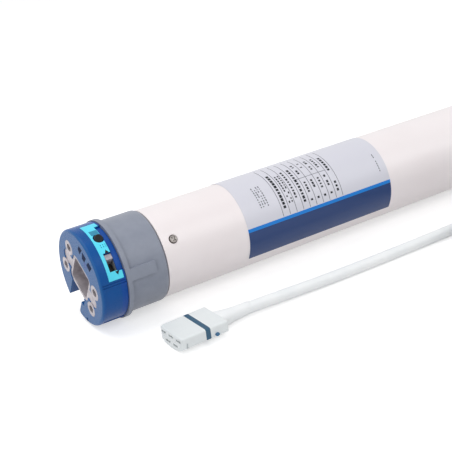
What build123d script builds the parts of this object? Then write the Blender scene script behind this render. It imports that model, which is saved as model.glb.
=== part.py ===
from build123d import *
from math import acos, cos, pi, radians, sin, sqrt, tan
import os

os.makedirs("parts", exist_ok=True)

# Frame: X runs along the motor from its head to its output end, Z is up, the floor is Z = 0.
# The origin is at the middle of the motor's length, on the floor under its axis.
# A station is a distance behind the front face of the head.

# Fits
running_fit = 0.05          # radial clearance of what turns on a journal or in a bore
seat_fit = 0.1              # clearance all round a piece that is fixed in its seat
axial_gap = 0.3             # end play between pieces that turn past each other
overrun = 1.0               # how far a cut runs past the face that it opens

# Motor tube and the winding tube that the motor drives
tube_diameter = 58.0
tube_wall = 1.5
roller_bore = 60.0          # bore of the 63 mm winding tube, 1.5 mm wall
roller_clearance = 0.2

# Head
head_diameter = 62.0
head_depth = 17.3
head_edge = 1.6
cover_wall = 2.5
face_thickness = 3.2
pattern_turn = -55.0        # the connector notch points this way, degrees from +Y
panel_start = 177.0         # shallow panel on the cover's side, degrees from +Y
panel_sweep = 60.0
panel_front = 2.8
panel_depth = 0.5
line_turns = (171.5, 174.3) # two fine grooves beside the panel
line_front = 1.4
line_width = 0.7

# Torque insert in the head's face: across is along the notch, up is along the rows of bosses
boss_across = 9.0
boss_up = 17.8
boss_radius = 4.9
thread_core = 5.0           # core of the M6 thread in each boss
thread_depth = 12.0
insert_spine = 9.0
insert_reach = 22.6
hub_side = 24.0
hub_corner = 5.0
socket_side = 19.5
socket_corner = 2.5
socket_depth = 11.5
insert_recess = 0.5
pilot_hole = 6.0

# Connector bay, open to the side of the head, and the notch in the face above it
bay_start = 3.2
plug_height = 10.6
plug_width = 25.5
plug_length = 32.4
plug_clearance = 0.4
bay_top = 8.0
bay_floor = 16.4
bay_wall = 1.5
notch_low = -6.3
notch_corner_low = 3.2      # rounding of the corners beside the notch, at the head's rim
notch_corner_high = 1.4
hook_low = -9.4             # the notch is wider next to the insert
hook_reach = 17.6
rim_slot_turn = -34.5       # small blind slot in the face at the rim, from the notch's direction
rim_slot_width = 1.9
rim_slot_length = 3.6
rim_slot_depth = 2.0
block_thickness = 2.3
contact_width = 4.4
contact_thickness = 1.0
contact_reach = 9.5
contact_pitch = 8.2
contact_row_front = 2.8     # below the plug's flat top
contact_row_back = 7.2
tail_width = 1.6
tail_thickness = 1.2
tail_length = 5.0

# Switch field on the side of the head
switch_turn = 132.0         # the field faces this way, degrees from +Y
switch_station = 11.2
label_thickness = 0.4
label_start = 6.3
label_width = 9.9
label_waist = 7.1           # width of the label beside the channel
label_turn = 127.6          # middle of the printed label
label_half_angle = 41.4
channel_depth = 1.3
channel_turn = 128.0        # middle of the channel
channel_half_angle = 32.0
button_offset = 8.34
button_diameter = 5.8
button_top = 29.7
button_rim = 1.1
button_rim_height = 1.0
button_travel = 0.8
button_edge = 0.7
button_clearance = 0.3
slot_length = 11.0
slot_width = 5.0
slot_offset = 8.34
knob_length = 3.6
knob_top = 29.6
knob_edge = 0.45
board_height = 20.0
switch_board_station = 9.0
board_thickness = 1.6
switch_board_length = 28.0
switch_board_width = 8.8
tact_side = 4.4
tact_corner = 0.55
tact_stem_diameter = 2.9
tact_height = 3.0
slide_body_height = 2.2
slide_body_length = 12.6

# Running crown
crown_length = 28.7
crown_flange_diameter = 63.6
crown_flange_width = 3.0
crown_edge = 2.0
crown_turn = 169.2
key_count = 2
key_width = 7.4
key_length = 17.0

# Encoder gear cut inside the crown, and its pinion
encoder_module = 1.0
encoder_ring_teeth = 48
encoder_pinion_teeth = 12
encoder_turn = 150.0
encoder_zone = 9.0
neck_clearance = 0.5
pinion_width = 7.4
pinion_shaft_diameter = 3.0
pinion_shaft_length = 13.0

# Head core
core_plate = 2.9
core_bore = 18.0
core_wall = 3.0
spigot_length = 20.0
core_floor = 4.0

# Tube screws
screw_station = 8.0         # from the tube's end to the screw
screw_turn = 146.7
screw_count = 3
screw_head_diameter = 5.6
screw_head_height = 1.5
screw_taper = 20.0
screw_slot_length = 3.2
screw_shank_diameter = 3.4
screw_length = 6.0
screw_sink = 0.8
screw_slot = 0.8
screw_slot_depth = 0.7

# Type label on the tube
type_label_offset = 58.8    # from the tube's front end
type_label_length = 115.6
type_label_thickness = 0.15
film_gap = 0.06             # glue under the film
type_label_low = 210.5
type_label_sweep = 205.0

# Electronics
carrier_length = 168.0
carrier_wall = 1.6
carrier_end = 2.0
carrier_window = 24.0
board_drop = 6.0
board_edge = 1.0
rail_width = 2.6
rail_height = 2.0
relay_size = (20.0, 10.4, 15.6)
relay_pitch = 13.0
relay_edge = 0.6
transformer_size = (34.0, 29.0, 23.0)
transformer_yoke = 6.0
transformer_corner = 3.0
smoothing_diameter = 12.5
smoothing_length = 25.0
smoothing_pitch = 17.5
smoothing_edge = 0.8
terminal_size = (12.0, 26.0, 11.0)
terminal_hole = 3.4
terminal_hole_depth = 9.6
radio_size = (30.0, 19.0, 1.2)
radio_can = (15.0, 13.0, 2.6)
radio_can_corner = 0.9
radio_pins = (24.0, 2.4)
radio_stand = 4.0
antenna_diameter = 1.4
antenna_side = 20.4
antenna_height = 15.0
antenna_lean = 3.75
antenna_bend = 4.2
antenna_foot_height = 1.4
antenna_length = 52.0

# Run capacitor
capacitor_diameter = 37.0
capacitor_length = 82.0
capacitor_edge = 2.5
collar_width = 11.0
collar_slit = 4.0
stud_diameter = 3.0
stud_pitch = 10.0
stud_length = 6.0

# Where the pieces stand along the control board, as shares of its length
terminal_share = 0.07
radio_share = 0.27
relay_share = 0.48
transformer_share = 0.69
smoothing_share = 0.90

# Motor
shield_length = 14.0
shield_web = 4.0
shield_rim = 3.0
shield_hole_diameter = 6.0
shield_holes = 3
winding_length = 21.0
winding_gap = 1.5
stator_length = 118.0
stator_bore = 31.1
air_gap = 0.35
slot_count = 18
stator_slot_width = 3.6
stator_slot_inner = 17.0
stator_slot_outer = 23.6
winding_clearance = 0.2
winding_outer = 24.6
winding_edge = 3.0
shaft_diameter = 10.0
bearing_diameter = 26.0
bearing_width = 8.0
bearing_groove = 0.4
bearing_race_diameters = (14.6, 21.4)
rotor_end_ring = 6.0
rotor_end_step = 1.6

# Holding brake
magnet_length = 22.0
magnet_diameter = 51.0
magnet_pocket = 9.0
spring_wire = 1.4
spring_turns = 4
spring_diameter = 19.0
brake_stroke = 0.35
armature_thickness = 3.6
armature_diameter = 46.0
guide_count = 3
guide_diameter = 4.0
guide_radius = 19.0
disc_diameter = 34.0
disc_thickness = 4.0
disc_holes = 6
disc_hole_diameter = 4.0
disc_hole_radius = 12.0
brake_fit = 0.05
friction_plate = 4.0

# Planetary gearbox: three stages of one tooth form
gear_module = 0.8
sun_teeth = 12
planet_teeth = 24
planet_count = 3             # in each stage
planet_turn = 90.0
pressure_angle = 20.0
addendum_share = 0.9
dedendum_share = 1.25
backlash = 0.17
stage_widths = (10.0, 17.0, 28.0)
carrier_plates = (4.0, 5.0, 8.0)
pin_diameters = (5.0, 7.0, 10.0)
carrier_diameter = 45.0

# Output
cap_depth = 16.0
cap_rim = 3.0
cap_edge = 1.0
output_diameter = 18.0
bush_wall = 3.0
wheel_width = 24.0
wheel_gap = 2.0
wheel_rim = 3.5
wheel_hub = 30.0
wheel_web = 6.0
wheel_holes = 6
wheel_hole_diameter = 8.0
wheel_hole_turn = 30.0
shaft_flat = 7.0            # distance from the axis to the flat on the output shaft
clip_thickness = 1.2
clip_width = 3.0
clip_groove = 1.2
shaft_tip = 2.5
clip_opening = 60.0
clip_turn = 30.0

# Cable and plug
cable_diameter = 7.7
plug_ahead = 24.8           # station of the plug's front end
plug_side = 63.6            # from the motor's axis to the middle of the plug's front end
plug_turn = 2.5             # degrees from the motor's axis
plug_crown = 24.0           # radius of the plug's rounded underside
plug_edge = 1.2
plug_corner = 2.6           # rounding of the front corners
contact_slot = (5.0, 1.5)
contact_depth = 12.0
contact_entry = 1.5         # from the plug's front to the chamber of a contact
contact_chamber = (6.0, 2.8)
sleeve_wall = 0.4
sleeve_length = 9.0
latch_size = (2.6, 2.0)
latch_thickness = 1.0
latch_back = 8.6
latch_height = 4.9
side_slit = (1.0, 3.2)
side_slit_back = 3.2
side_slit_depth = 1.0
gland_diameter = 9.4
gland_length = 4.0
gland_root = 1.0
cable_route = (             # station, distance from the motor's axis and height of each bend
    (108.0, 62.4, 4.7),
    (150.0, 63.4, 3.9),
    (206.0, 63.5, 3.9),
    (246.0, 62.9, 3.9),
)
cable_lead = 17.0           # straight run at each end of the stretch
corner_share = 0.45         # of the shorter run beside a bend that its arc takes up
coil_station = 287.0
coil_side = 63.2            # from the motor's axis to the coil's nearest turn
coil_inner_radius = 30.8
coil_side_gap = 1.5         # between turns of one layer
coil_layer_gap = 0.9        # between layers
coil_lift = 1.1             # room for the tie under the coil
coil_half_turns = (5, 5, 5, 2)  # in each layer, without the half turns that climb
tail_straight = 13.0
tie_thickness = 0.8
tie_width = 6.0
core_count = 5
core_diameter = 2.2
core_ring_radius = 2.4
core_free = 26.0
ferrule_diameter = 1.5
ferrule_length = 8.0

# Worked out from the sizes above
tube_radius = tube_diameter / 2
bore_radius = tube_radius - tube_wall
inside_radius = bore_radius - seat_fit
head_radius = head_diameter / 2
cavity_radius = head_radius - cover_wall
crown_radius = roller_bore / 2 - roller_clearance
crown_flange_radius = crown_flange_diameter / 2
axis_height = crown_flange_radius
plate_start = head_depth - core_plate
crown_start = head_depth + axial_gap
crown_end = crown_start + crown_length
tube_start = crown_end + axial_gap
carrier_start = tube_start + spigot_length + axial_gap
carrier_stop = carrier_start + carrier_length
capacitor_start = carrier_stop + axial_gap + stud_length
capacitor_stop = capacitor_start + capacitor_length
shield_start = capacitor_stop + axial_gap
stator_start = shield_start + shield_length + winding_gap + winding_length
stator_stop = stator_start + stator_length
front_shield_start = stator_stop + winding_length + winding_gap
front_shield_stop = front_shield_start + shield_length
magnet_start = front_shield_stop
magnet_stop = magnet_start + magnet_length
armature_start = magnet_stop + brake_stroke + brake_fit
disc_start = armature_start + armature_thickness + brake_fit
plate_front = disc_start + disc_thickness + brake_fit
gear_start = plate_front + friction_plate
sun_radius = gear_module * sun_teeth / 2
planet_radius = gear_module * planet_teeth / 2
ring_teeth = sun_teeth + 2 * planet_teeth
centre_radius = sun_radius + planet_radius

stage_starts = []
carrier_starts = []
station_now = gear_start + axial_gap
for width, plate in zip(stage_widths, carrier_plates):
    stage_starts.append(station_now)
    carrier_starts.append(station_now + width + axial_gap)
    station_now = station_now + width + plate + 2 * axial_gap
cap_start = station_now
tube_end = cap_start + cap_depth
cap_stop = tube_end + cap_rim
wheel_start = cap_stop + wheel_gap
wheel_stop = wheel_start + wheel_width
clip_start = wheel_stop + axial_gap
shaft_end = clip_start + clip_thickness + shaft_tip
overall_length = shaft_end
head_x = -overall_length / 2
print(f"overall length {overall_length:.1f} mm")


# Cross-section plane at a station, its middle away from the axis if asked.
# Sketch X points away from +Y by the turn, sketch Y 90 degrees on.
def section(station, turn=0, away=0):
    side, rise = cos(radians(turn)), sin(radians(turn))
    origin = (head_x + station, away * side, axis_height + away * rise)
    return Plane(origin=origin, x_dir=(0, side, rise), z_dir=(1, 0, 0))


# Plane tangent to the motor: its normal points outward at the turn, its X runs along the motor.
def outward(station, turn, height):
    side, rise = cos(radians(turn)), sin(radians(turn))
    origin = (head_x + station, height * side, axis_height + height * rise)
    return Plane(origin=origin, x_dir=(1, 0, 0), z_dir=(0, side, rise))


def save(part, name):
    part.label = name
    export_step(part, f"parts/{name}.step")


# A disc, or a ring when it has a bore, in the sketch that is open.
def disc(radius, bore=0):
    Circle(radius)
    if bore:
        Circle(bore, mode=Mode.SUBTRACT)


# Closed outline of a band that runs round the axis from one angle to another.
def band(inner, outer, start, sweep):
    middle = start + sweep / 2
    stop = start + sweep

    def at(radius, angle):
        return (radius * cos(radians(angle)), radius * sin(radians(angle)))

    with BuildLine() as outline:
        ThreePointArc(at(outer, start), at(outer, middle), at(outer, stop))
        Line(at(outer, stop), at(inner, stop))
        ThreePointArc(at(inner, stop), at(inner, middle), at(inner, start))
        Line(at(inner, start), at(outer, start))
    make_face(outline.edges())


# Half of the angle that a tooth takes at a radius, from the involute of its base circle.
def tooth_half_angle(radius, pitch_radius, teeth, thinning):
    base = pitch_radius * cos(radians(pressure_angle))
    at_pitch = pi / (2 * teeth) - thinning / (2 * pitch_radius)
    here = acos(min(1, base / radius))
    there = radians(pressure_angle)
    return at_pitch + (tan(there) - there) - (tan(here) - here)


# Corners of a toothed wheel, an outside one or the space inside a ring gear. Tooth 0 points along turn.
def gear_points(module, teeth, internal=False, turn=0.0):
    pitch_radius = module * teeth / 2
    thinning = -backlash / 2 if internal else backlash / 2
    up = dedendum_share if internal else addendum_share
    down = addendum_share if internal else dedendum_share
    tip, root = pitch_radius + up * module, pitch_radius - down * module
    low = max(root, pitch_radius * cos(radians(pressure_angle)))
    radii = [low, (low + pitch_radius) / 2, pitch_radius, (pitch_radius + tip) / 2, tip]
    flank = [(r, tooth_half_angle(r, pitch_radius, teeth, thinning)) for r in radii]
    if root < low:
        flank.insert(0, (root, flank[0][1]))
    points = []
    for tooth in range(teeth):
        centre = radians(turn) + 2 * pi * tooth / teeth
        for radius, half in flank:
            points.append((radius * cos(centre - half), radius * sin(centre - half)))
        for radius, half in reversed(flank):
            points.append((radius * cos(centre + half), radius * sin(centre + half)))
    return points


def gear_face(module, teeth, internal=False, turn=0.0):
    with BuildLine() as outline:
        Polyline(*gear_points(module, teeth, internal, turn), close=True)
    make_face(outline.edges())


# Head: torque insert with four threaded bosses and a square socket for the bracket
boss_places = [(i * boss_across, j * boss_up) for i in (-1, 1) for j in (-1, 1)]


def insert_outline(extra):
    with Locations((0, 0)):
        SlotOverall(2 * (insert_reach + extra), insert_spine + 2 * extra, rotation=90)
        RectangleRounded(hub_side + 2 * extra, hub_side + 2 * extra, hub_corner + extra)
    with Locations(*boss_places):
        Circle(boss_radius + extra)


with BuildPart() as torque_insert:
    with BuildSketch(section(insert_recess, pattern_turn)):
        insert_outline(0)
    extrude(amount=face_thickness)
    with BuildSketch(section(0, pattern_turn)):
        with Locations(*boss_places):
            Circle(boss_radius)
    extrude(amount=plate_start)
    with BuildSketch(section(insert_recess, pattern_turn)):
        RectangleRounded(hub_side, hub_side, hub_corner)
    extrude(amount=plate_start - insert_recess)
    with BuildSketch(section(insert_recess, pattern_turn)):
        RectangleRounded(socket_side, socket_side, socket_corner)
    extrude(amount=socket_depth, mode=Mode.SUBTRACT)
    with BuildSketch(section(insert_recess, pattern_turn)):
        Circle(pilot_hole / 2)
    extrude(amount=plate_start, mode=Mode.SUBTRACT)
    with BuildSketch(section(0, pattern_turn)):
        with Locations(*boss_places):
            Circle(thread_core / 2)
    extrude(amount=thread_depth, mode=Mode.SUBTRACT)
save(torque_insert.part, "torque_insert")

# Head: the cover, a cup with the notch, the connector bay, the switch field and the insert's opening
bay_width = plug_width + 2 * plug_clearance
bay_low = bay_top - bay_width
bay_middle = (bay_top + bay_low) / 2
bay_length = head_radius - bay_floor + overrun
bay_reach = bay_floor + bay_length / 2
bay_depth = plate_start - bay_start
label_radius = head_radius - label_thickness

# outline of the face with the notch, its corners at the rim rounded
with BuildSketch() as lobes:
    Circle(head_radius)
    with Locations((head_radius, (bay_top + notch_low) / 2)):
        Rectangle(2 * hub_side, bay_top - notch_low, mode=Mode.SUBTRACT)
    rim_corners = lobes.vertices().sort_by(Axis.X)[-2:].sort_by(Axis.Y)
    fillet(rim_corners[0], notch_corner_low)
    fillet(lobes.vertices().sort_by(Axis.X)[-1], notch_corner_high)

with BuildPart() as head_cover:
    with BuildSketch(section(0)):
        Circle(head_radius)
    extrude(amount=head_depth)
    fillet(head_cover.faces().sort_by(Axis.X)[0].edges(), head_edge)
    with BuildSketch(section(face_thickness)):
        Circle(cavity_radius)
    extrude(amount=head_depth, mode=Mode.SUBTRACT)
    # side walls of the connector bay
    with BuildSketch(section(face_thickness / 2, pattern_turn)):
        with Locations((bay_reach - bay_wall, bay_middle)):
            Rectangle(bay_length, bay_width + 2 * bay_wall)
        Circle(cavity_radius + cover_wall / 2, mode=Mode.INTERSECT)
    extrude(amount=plate_start - face_thickness / 2 - seat_fit)
    with BuildSketch(section(bay_start, pattern_turn)):
        with Locations((bay_reach - bay_wall, bay_middle)):
            Rectangle(bay_length + 2 * bay_wall, bay_width)
    extrude(amount=bay_depth, mode=Mode.SUBTRACT)
    # notch in the face, one side in line with the bay
    with BuildSketch(section(-overrun, pattern_turn)):
        with Locations(((hub_side / 2 + head_radius + overrun) / 2, (bay_top + notch_low) / 2)):
            Rectangle(head_radius + overrun - hub_side / 2, bay_top - notch_low)
        with Locations(((hub_side / 2 + hook_reach) / 2, (hook_low + notch_low) / 2)):
            Rectangle(hook_reach - hub_side / 2, notch_low - hook_low)
    extrude(amount=bay_start + 2 * overrun, mode=Mode.SUBTRACT)
    # rounded corners where the notch and the bay come out at the rim
    with BuildSketch(section(-overrun, pattern_turn)):
        with Locations((head_radius, (bay_top + notch_low) / 2)):
            Rectangle(4 * notch_corner_low, bay_top - notch_low + 4 * notch_corner_low)
        add(lobes.sketch, mode=Mode.SUBTRACT)
    extrude(amount=plate_start + overrun, mode=Mode.SUBTRACT)
    with BuildSketch(section(-overrun, pattern_turn + rim_slot_turn)):
        with Locations((head_radius, 0)):
            Rectangle(2 * rim_slot_length, rim_slot_width)
    extrude(amount=rim_slot_depth + overrun, mode=Mode.SUBTRACT)
    with BuildSketch(section(-overrun, pattern_turn)):
        insert_outline(seat_fit)
    extrude(amount=face_thickness + 2 * overrun, mode=Mode.SUBTRACT)
    # recess for the switch label, and the channel between it and the crown
    with BuildSketch(section(label_start)):
        band(label_radius, head_radius + overrun, label_turn - label_half_angle, 2 * label_half_angle)
    extrude(amount=label_width, mode=Mode.SUBTRACT)
    with BuildSketch(section(label_start + label_waist)):
        band(head_radius - channel_depth, head_radius + overrun,
             channel_turn - channel_half_angle, 2 * channel_half_angle)
    extrude(amount=head_depth, mode=Mode.SUBTRACT)
    # push button and slide switch come through the wall
    with BuildSketch(outward(switch_station, switch_turn, board_height)):
        with Locations((0, button_offset)):
            Circle(button_diameter / 2 + button_clearance)
        with Locations((0, -slot_offset)):
            Rectangle(slot_width, slot_length)
    extrude(amount=head_radius, mode=Mode.SUBTRACT)
    # shallow panel and two fine lines on the side below the switches
    with BuildSketch(section(panel_front)):
        band(head_radius - panel_depth, head_radius + overrun, panel_start, panel_sweep)
    extrude(amount=head_depth, mode=Mode.SUBTRACT)
    for turn in line_turns:
        with BuildSketch(section(line_front)):
            with Locations(Location((0, 0), turn)):
                with Locations((head_radius, 0)):
                    Rectangle(2 * panel_depth, line_width)
        extrude(amount=head_depth, mode=Mode.SUBTRACT)
save(head_cover.part, "head_cover")

# Head: printed label round the switches
with BuildPart() as switch_label:
    with BuildSketch(section(label_start + seat_fit)):
        band(label_radius, head_radius, label_turn - label_half_angle + seat_fit,
             2 * (label_half_angle - seat_fit))
    extrude(amount=label_width - 2 * seat_fit)
    with BuildSketch(section(label_start + label_waist - seat_fit)):
        band(label_radius - overrun, head_radius + overrun,
             channel_turn - channel_half_angle - seat_fit, 2 * (channel_half_angle + seat_fit))
    extrude(amount=label_width, mode=Mode.SUBTRACT)
    with BuildSketch(outward(switch_station, switch_turn, board_height)):
        with Locations((0, button_offset)):
            Circle(button_diameter / 2 + 2 * button_clearance)
        with Locations((0, -slot_offset)):
            Rectangle(slot_width + button_clearance, slot_length + button_clearance)
    extrude(amount=head_radius, mode=Mode.SUBTRACT)
save(switch_label.part, "switch_label")

# Head: circuit board under the switch field, with the key switch and the slide switch on it
with BuildPart() as switch_board:
    with BuildSketch(outward(switch_board_station, switch_turn, board_height - board_thickness)):
        Rectangle(switch_board_width, switch_board_length)
    extrude(amount=board_thickness)
save(switch_board.part, "switch_board")

with BuildPart() as switch_bodies:
    with BuildSketch(outward(switch_station, switch_turn, board_height)):
        with Locations((0, button_offset)):
            RectangleRounded(tact_side, tact_side, tact_corner)
        with Locations((0, -slot_offset)):
            Rectangle(tact_side, slide_body_length)
    extrude(amount=slide_body_height)
    with BuildSketch(outward(switch_station, switch_turn, board_height + slide_body_height)):
        with Locations((0, button_offset)):
            Circle(tact_stem_diameter / 2)
    extrude(amount=tact_height - slide_body_height)
save(switch_bodies.part, "switch_bodies")

# Head: push button, which bears on the key switch
button_foot = board_height + tact_height + button_travel + brake_fit
button_reach = button_offset + button_diameter / 2 + button_rim
button_rim_top = sqrt(cavity_radius ** 2 - button_reach ** 2) - axial_gap
with BuildPart() as program_button:
    with BuildSketch(outward(switch_station, switch_turn, button_foot)):
        with Locations((0, button_offset)):
            Circle(button_diameter / 2)
    extrude(amount=button_top - button_foot)
    fillet(program_button.edges().sort_by(Axis((0, 0, 0), outward(0, switch_turn, 0).z_dir))[-1], button_edge)
    with BuildSketch(outward(switch_station, switch_turn, button_rim_top - button_rim_height)):
        with Locations((0, button_offset)):
            Circle(button_diameter / 2 + button_rim)
    extrude(amount=button_rim_height)
save(program_button.part, "program_button")

# Head: knob of the slide switch, at the end of its slot nearest the button
knob_rest = slot_offset - slot_length / 2 + button_clearance + knob_length / 2
knob_travel = slot_length - knob_length - 2 * button_clearance
knob_foot = board_height + slide_body_height + brake_fit
with BuildPart() as direction_knob:
    with BuildSketch(outward(switch_station, switch_turn, knob_foot)):
        with Locations((0, -knob_rest)):
            Rectangle(slot_width - 2 * button_clearance, knob_length)
    extrude(amount=knob_top - knob_foot)
    fillet(direction_knob.edges().filter_by(Axis.X).sort_by(Axis.Z)[-1:], knob_edge)
save(direction_knob.part, "direction_knob")
print(f"button travel {button_travel} mm, knob travel {knob_travel:.2f} mm, "
      f"knob at {knob_rest:.2f} mm, rim top {button_rim_top:.2f} mm")

# Head: connector block and its five blades
block_length = bay_width - 2 * seat_fit
front_row_station = bay_start + plug_clearance / 2 + contact_row_front
back_row_station = bay_start + plug_clearance / 2 + contact_row_back
front_row = [bay_middle + i * contact_pitch for i in (-1, 0, 1)]
back_row = [bay_middle + i * contact_pitch / 2 for i in (-1, 1)]
blade_places = [(front_row_station, up) for up in front_row] + [(back_row_station, up) for up in back_row]
blade_root = bay_floor - block_thickness + tail_thickness / 2
blade_length = bay_floor + contact_reach - blade_root

with BuildPart() as connector_block:
    with BuildSketch(section(bay_start + seat_fit, pattern_turn)):
        with Locations((bay_floor - block_thickness / 2, bay_middle)):
            Rectangle(block_thickness, block_length)
    extrude(amount=bay_depth - 2 * seat_fit)
    for station, up in blade_places:
        with BuildSketch(section(station - contact_thickness / 2, pattern_turn)):
            with Locations((blade_root + blade_length / 2, up)):
                Rectangle(blade_length, contact_width)
        extrude(amount=contact_thickness, mode=Mode.SUBTRACT)
        with BuildSketch(section(station, pattern_turn)):
            with Locations((blade_root + tail_thickness / 2, up)):
                Rectangle(tail_thickness, tail_width)
        extrude(amount=head_depth, mode=Mode.SUBTRACT)
save(connector_block.part, "connector_block")

with BuildPart() as contact_blades:
    for station, up in blade_places:
        with BuildSketch(section(station - contact_thickness / 2, pattern_turn)):
            with Locations((blade_root + blade_length / 2, up)):
                Rectangle(blade_length, contact_width)
        extrude(amount=contact_thickness)
        with BuildSketch(section(station, pattern_turn)):
            with Locations((blade_root + tail_thickness / 2, up)):
                Rectangle(tail_thickness, tail_width)
        extrude(amount=plate_start + tail_length - station)
save(contact_blades.part, "contact_blades")

# Head core: plate behind the cover, neck that the crown turns on, spigot in the tube
encoder_ring_radius = encoder_module * encoder_ring_teeth / 2
encoder_pinion_radius = encoder_module * encoder_pinion_teeth / 2
encoder_centre = encoder_ring_radius - encoder_pinion_radius
neck_front_radius = encoder_ring_radius - addendum_share * encoder_module - neck_clearance
crown_bore = encoder_ring_radius + encoder_module
neck_radius = crown_bore - running_fit
neck_step = crown_start + encoder_zone + axial_gap
pocket_start = crown_start + axial_gap
pocket_radius = encoder_pinion_radius + encoder_module * 1.5
spigot_end = tube_start + spigot_length
cavity_start = neck_step + core_floor
shaft_start = crown_start + axial_gap + (encoder_zone - pinion_shaft_length) / 2
screw_turns = [screw_turn + 360 * i / screw_count for i in range(screw_count)]

with BuildPart() as head_core:
    for start, stop, radius in (
        (plate_start, head_depth, cavity_radius - seat_fit),
        (head_depth, neck_step, neck_front_radius),
        (neck_step, tube_start, neck_radius),
        (tube_start, spigot_end, inside_radius),
    ):
        with BuildSketch(section(start)):
            Circle(radius)
        extrude(amount=stop - start)
    with BuildSketch(section(plate_start)):
        Circle(core_bore / 2)
    extrude(amount=spigot_end, mode=Mode.SUBTRACT)
    with BuildSketch(section(cavity_start)):
        Circle(neck_radius - core_wall)
    extrude(amount=spigot_end, mode=Mode.SUBTRACT)
    # pocket of the encoder pinion, and the holes of its shaft
    with BuildSketch(section(pocket_start, encoder_turn)):
        with Locations((encoder_centre, 0)):
            Circle(pocket_radius)
    extrude(amount=encoder_zone, mode=Mode.SUBTRACT)
    with BuildSketch(section(shaft_start - axial_gap, encoder_turn)):
        with Locations((encoder_centre, 0)):
            Circle(pinion_shaft_diameter / 2 + running_fit)
    extrude(amount=pinion_shaft_length + 2 * axial_gap, mode=Mode.SUBTRACT)
    # room for the rim of the push button in the plate
    with BuildSketch(outward(switch_station, switch_turn, board_height)):
        with Locations((0, button_offset)):
            Circle(button_diameter / 2 + button_rim + button_clearance)
    extrude(amount=head_radius, mode=Mode.SUBTRACT)
    # window for the tails of the blades
    with BuildSketch(section(plate_start, pattern_turn)):
        with Locations((blade_root + tail_thickness / 2, bay_middle)):
            Rectangle(2 * tail_thickness, 2 * contact_pitch + 3 * tail_width)
    extrude(amount=2 * core_plate, mode=Mode.SUBTRACT)
    # rails under the switch board
    with BuildSketch(outward(plate_start - switch_board_width / 2 + overrun / 2, switch_turn,
                             board_height - board_thickness - rail_height)):
        with Locations(*[(0, i * switch_board_length / 3) for i in (-1, 1)]):
            Rectangle(switch_board_width + overrun, rail_width)
    extrude(amount=rail_height - seat_fit)
    for turn in screw_turns:
        with BuildSketch(outward(tube_start + screw_station, turn, 0)):
            Circle(screw_shank_diameter / 2)
        extrude(amount=tube_radius, mode=Mode.SUBTRACT)
save(head_core.part, "head_core")

# Running crown: journal, flange, keys and the gear cut inside it
key_turns = [crown_turn + 360 * i / key_count for i in range(key_count)]
with BuildPart() as running_crown:
    with BuildSketch(section(crown_start)):
        Circle(crown_radius)
    extrude(amount=crown_length)
    fillet(running_crown.faces().sort_by(Axis.X)[-1].edges(), crown_edge)
    with BuildSketch(section(crown_start)):
        Circle(crown_flange_radius)
    extrude(amount=crown_flange_width)
    for turn in key_turns:
        with BuildSketch(section(crown_start + crown_flange_width, turn)):
            with Locations(((crown_flange_radius + neck_radius) / 2, 0)):
                Rectangle(crown_flange_radius - neck_radius, key_width)
            Circle(crown_flange_radius, mode=Mode.INTERSECT)
        extrude(amount=key_length)
    with BuildSketch(section(crown_start)):
        gear_face(encoder_module, encoder_ring_teeth, internal=True, turn=encoder_turn + 180 / encoder_ring_teeth)
    extrude(amount=encoder_zone, mode=Mode.SUBTRACT)
    with BuildSketch(section(crown_start + encoder_zone)):
        Circle(crown_bore)
    extrude(amount=crown_length, mode=Mode.SUBTRACT)
save(running_crown.part, "running_crown")

# Encoder pinion, turned by the crown
with BuildPart() as encoder_pinion:
    with BuildSketch(section(pocket_start + axial_gap, encoder_turn, encoder_centre)):
        gear_face(encoder_module, encoder_pinion_teeth, turn=180 / encoder_pinion_teeth)
    extrude(amount=pinion_width)
    with BuildSketch(section(shaft_start, encoder_turn, encoder_centre)):
        Circle(pinion_shaft_diameter / 2)
    extrude(amount=pinion_shaft_length)
save(encoder_pinion.part, "encoder_pinion")

# Motor tube with its screw holes at both ends
screw_stations = (tube_start + screw_station, tube_end - screw_station)
screw_seat = tube_radius - screw_sink
with BuildPart() as motor_tube:
    with BuildSketch(section(tube_start)):
        disc(tube_radius, bore_radius)
    extrude(amount=tube_end - tube_start)
    for station in screw_stations:
        for turn in screw_turns:
            with BuildSketch(outward(station, turn, 0)):
                Circle(screw_shank_diameter / 2 + seat_fit)
            extrude(amount=tube_radius, mode=Mode.SUBTRACT)
            with BuildSketch(outward(station, turn, screw_seat)):
                Circle(screw_head_diameter / 2 + seat_fit)
            extrude(amount=screw_sink + overrun, mode=Mode.SUBTRACT)
save(motor_tube.part, "motor_tube")

# Cross-recessed screws that hold the head and the gearbox cap in the tube
with BuildPart() as tube_screws:
    for station in screw_stations:
        for turn in screw_turns:
            with BuildSketch(outward(station, turn, screw_seat - screw_length)):
                Circle(screw_shank_diameter / 2 - running_fit)
            extrude(amount=screw_length)
            with BuildSketch(outward(station, turn, screw_seat)):
                Circle(screw_head_diameter / 2)
            extrude(amount=screw_head_height, taper=screw_taper)
            with BuildSketch(outward(station, turn, screw_seat + screw_head_height)):
                for tilt in (45, 135):
                    Rectangle(screw_slot_length, screw_slot, rotation=tilt)
            extrude(amount=-screw_slot_depth, mode=Mode.SUBTRACT)
save(tube_screws.part, "tube_screws")

# Type label, a film on the tube
with BuildPart() as type_label:
    with BuildSketch(section(tube_start + type_label_offset)):
        band(tube_radius + film_gap, tube_radius + film_gap + type_label_thickness,
             type_label_low - type_label_sweep, type_label_sweep)
    extrude(amount=type_label_length)
save(type_label.part, "type_label")

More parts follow.
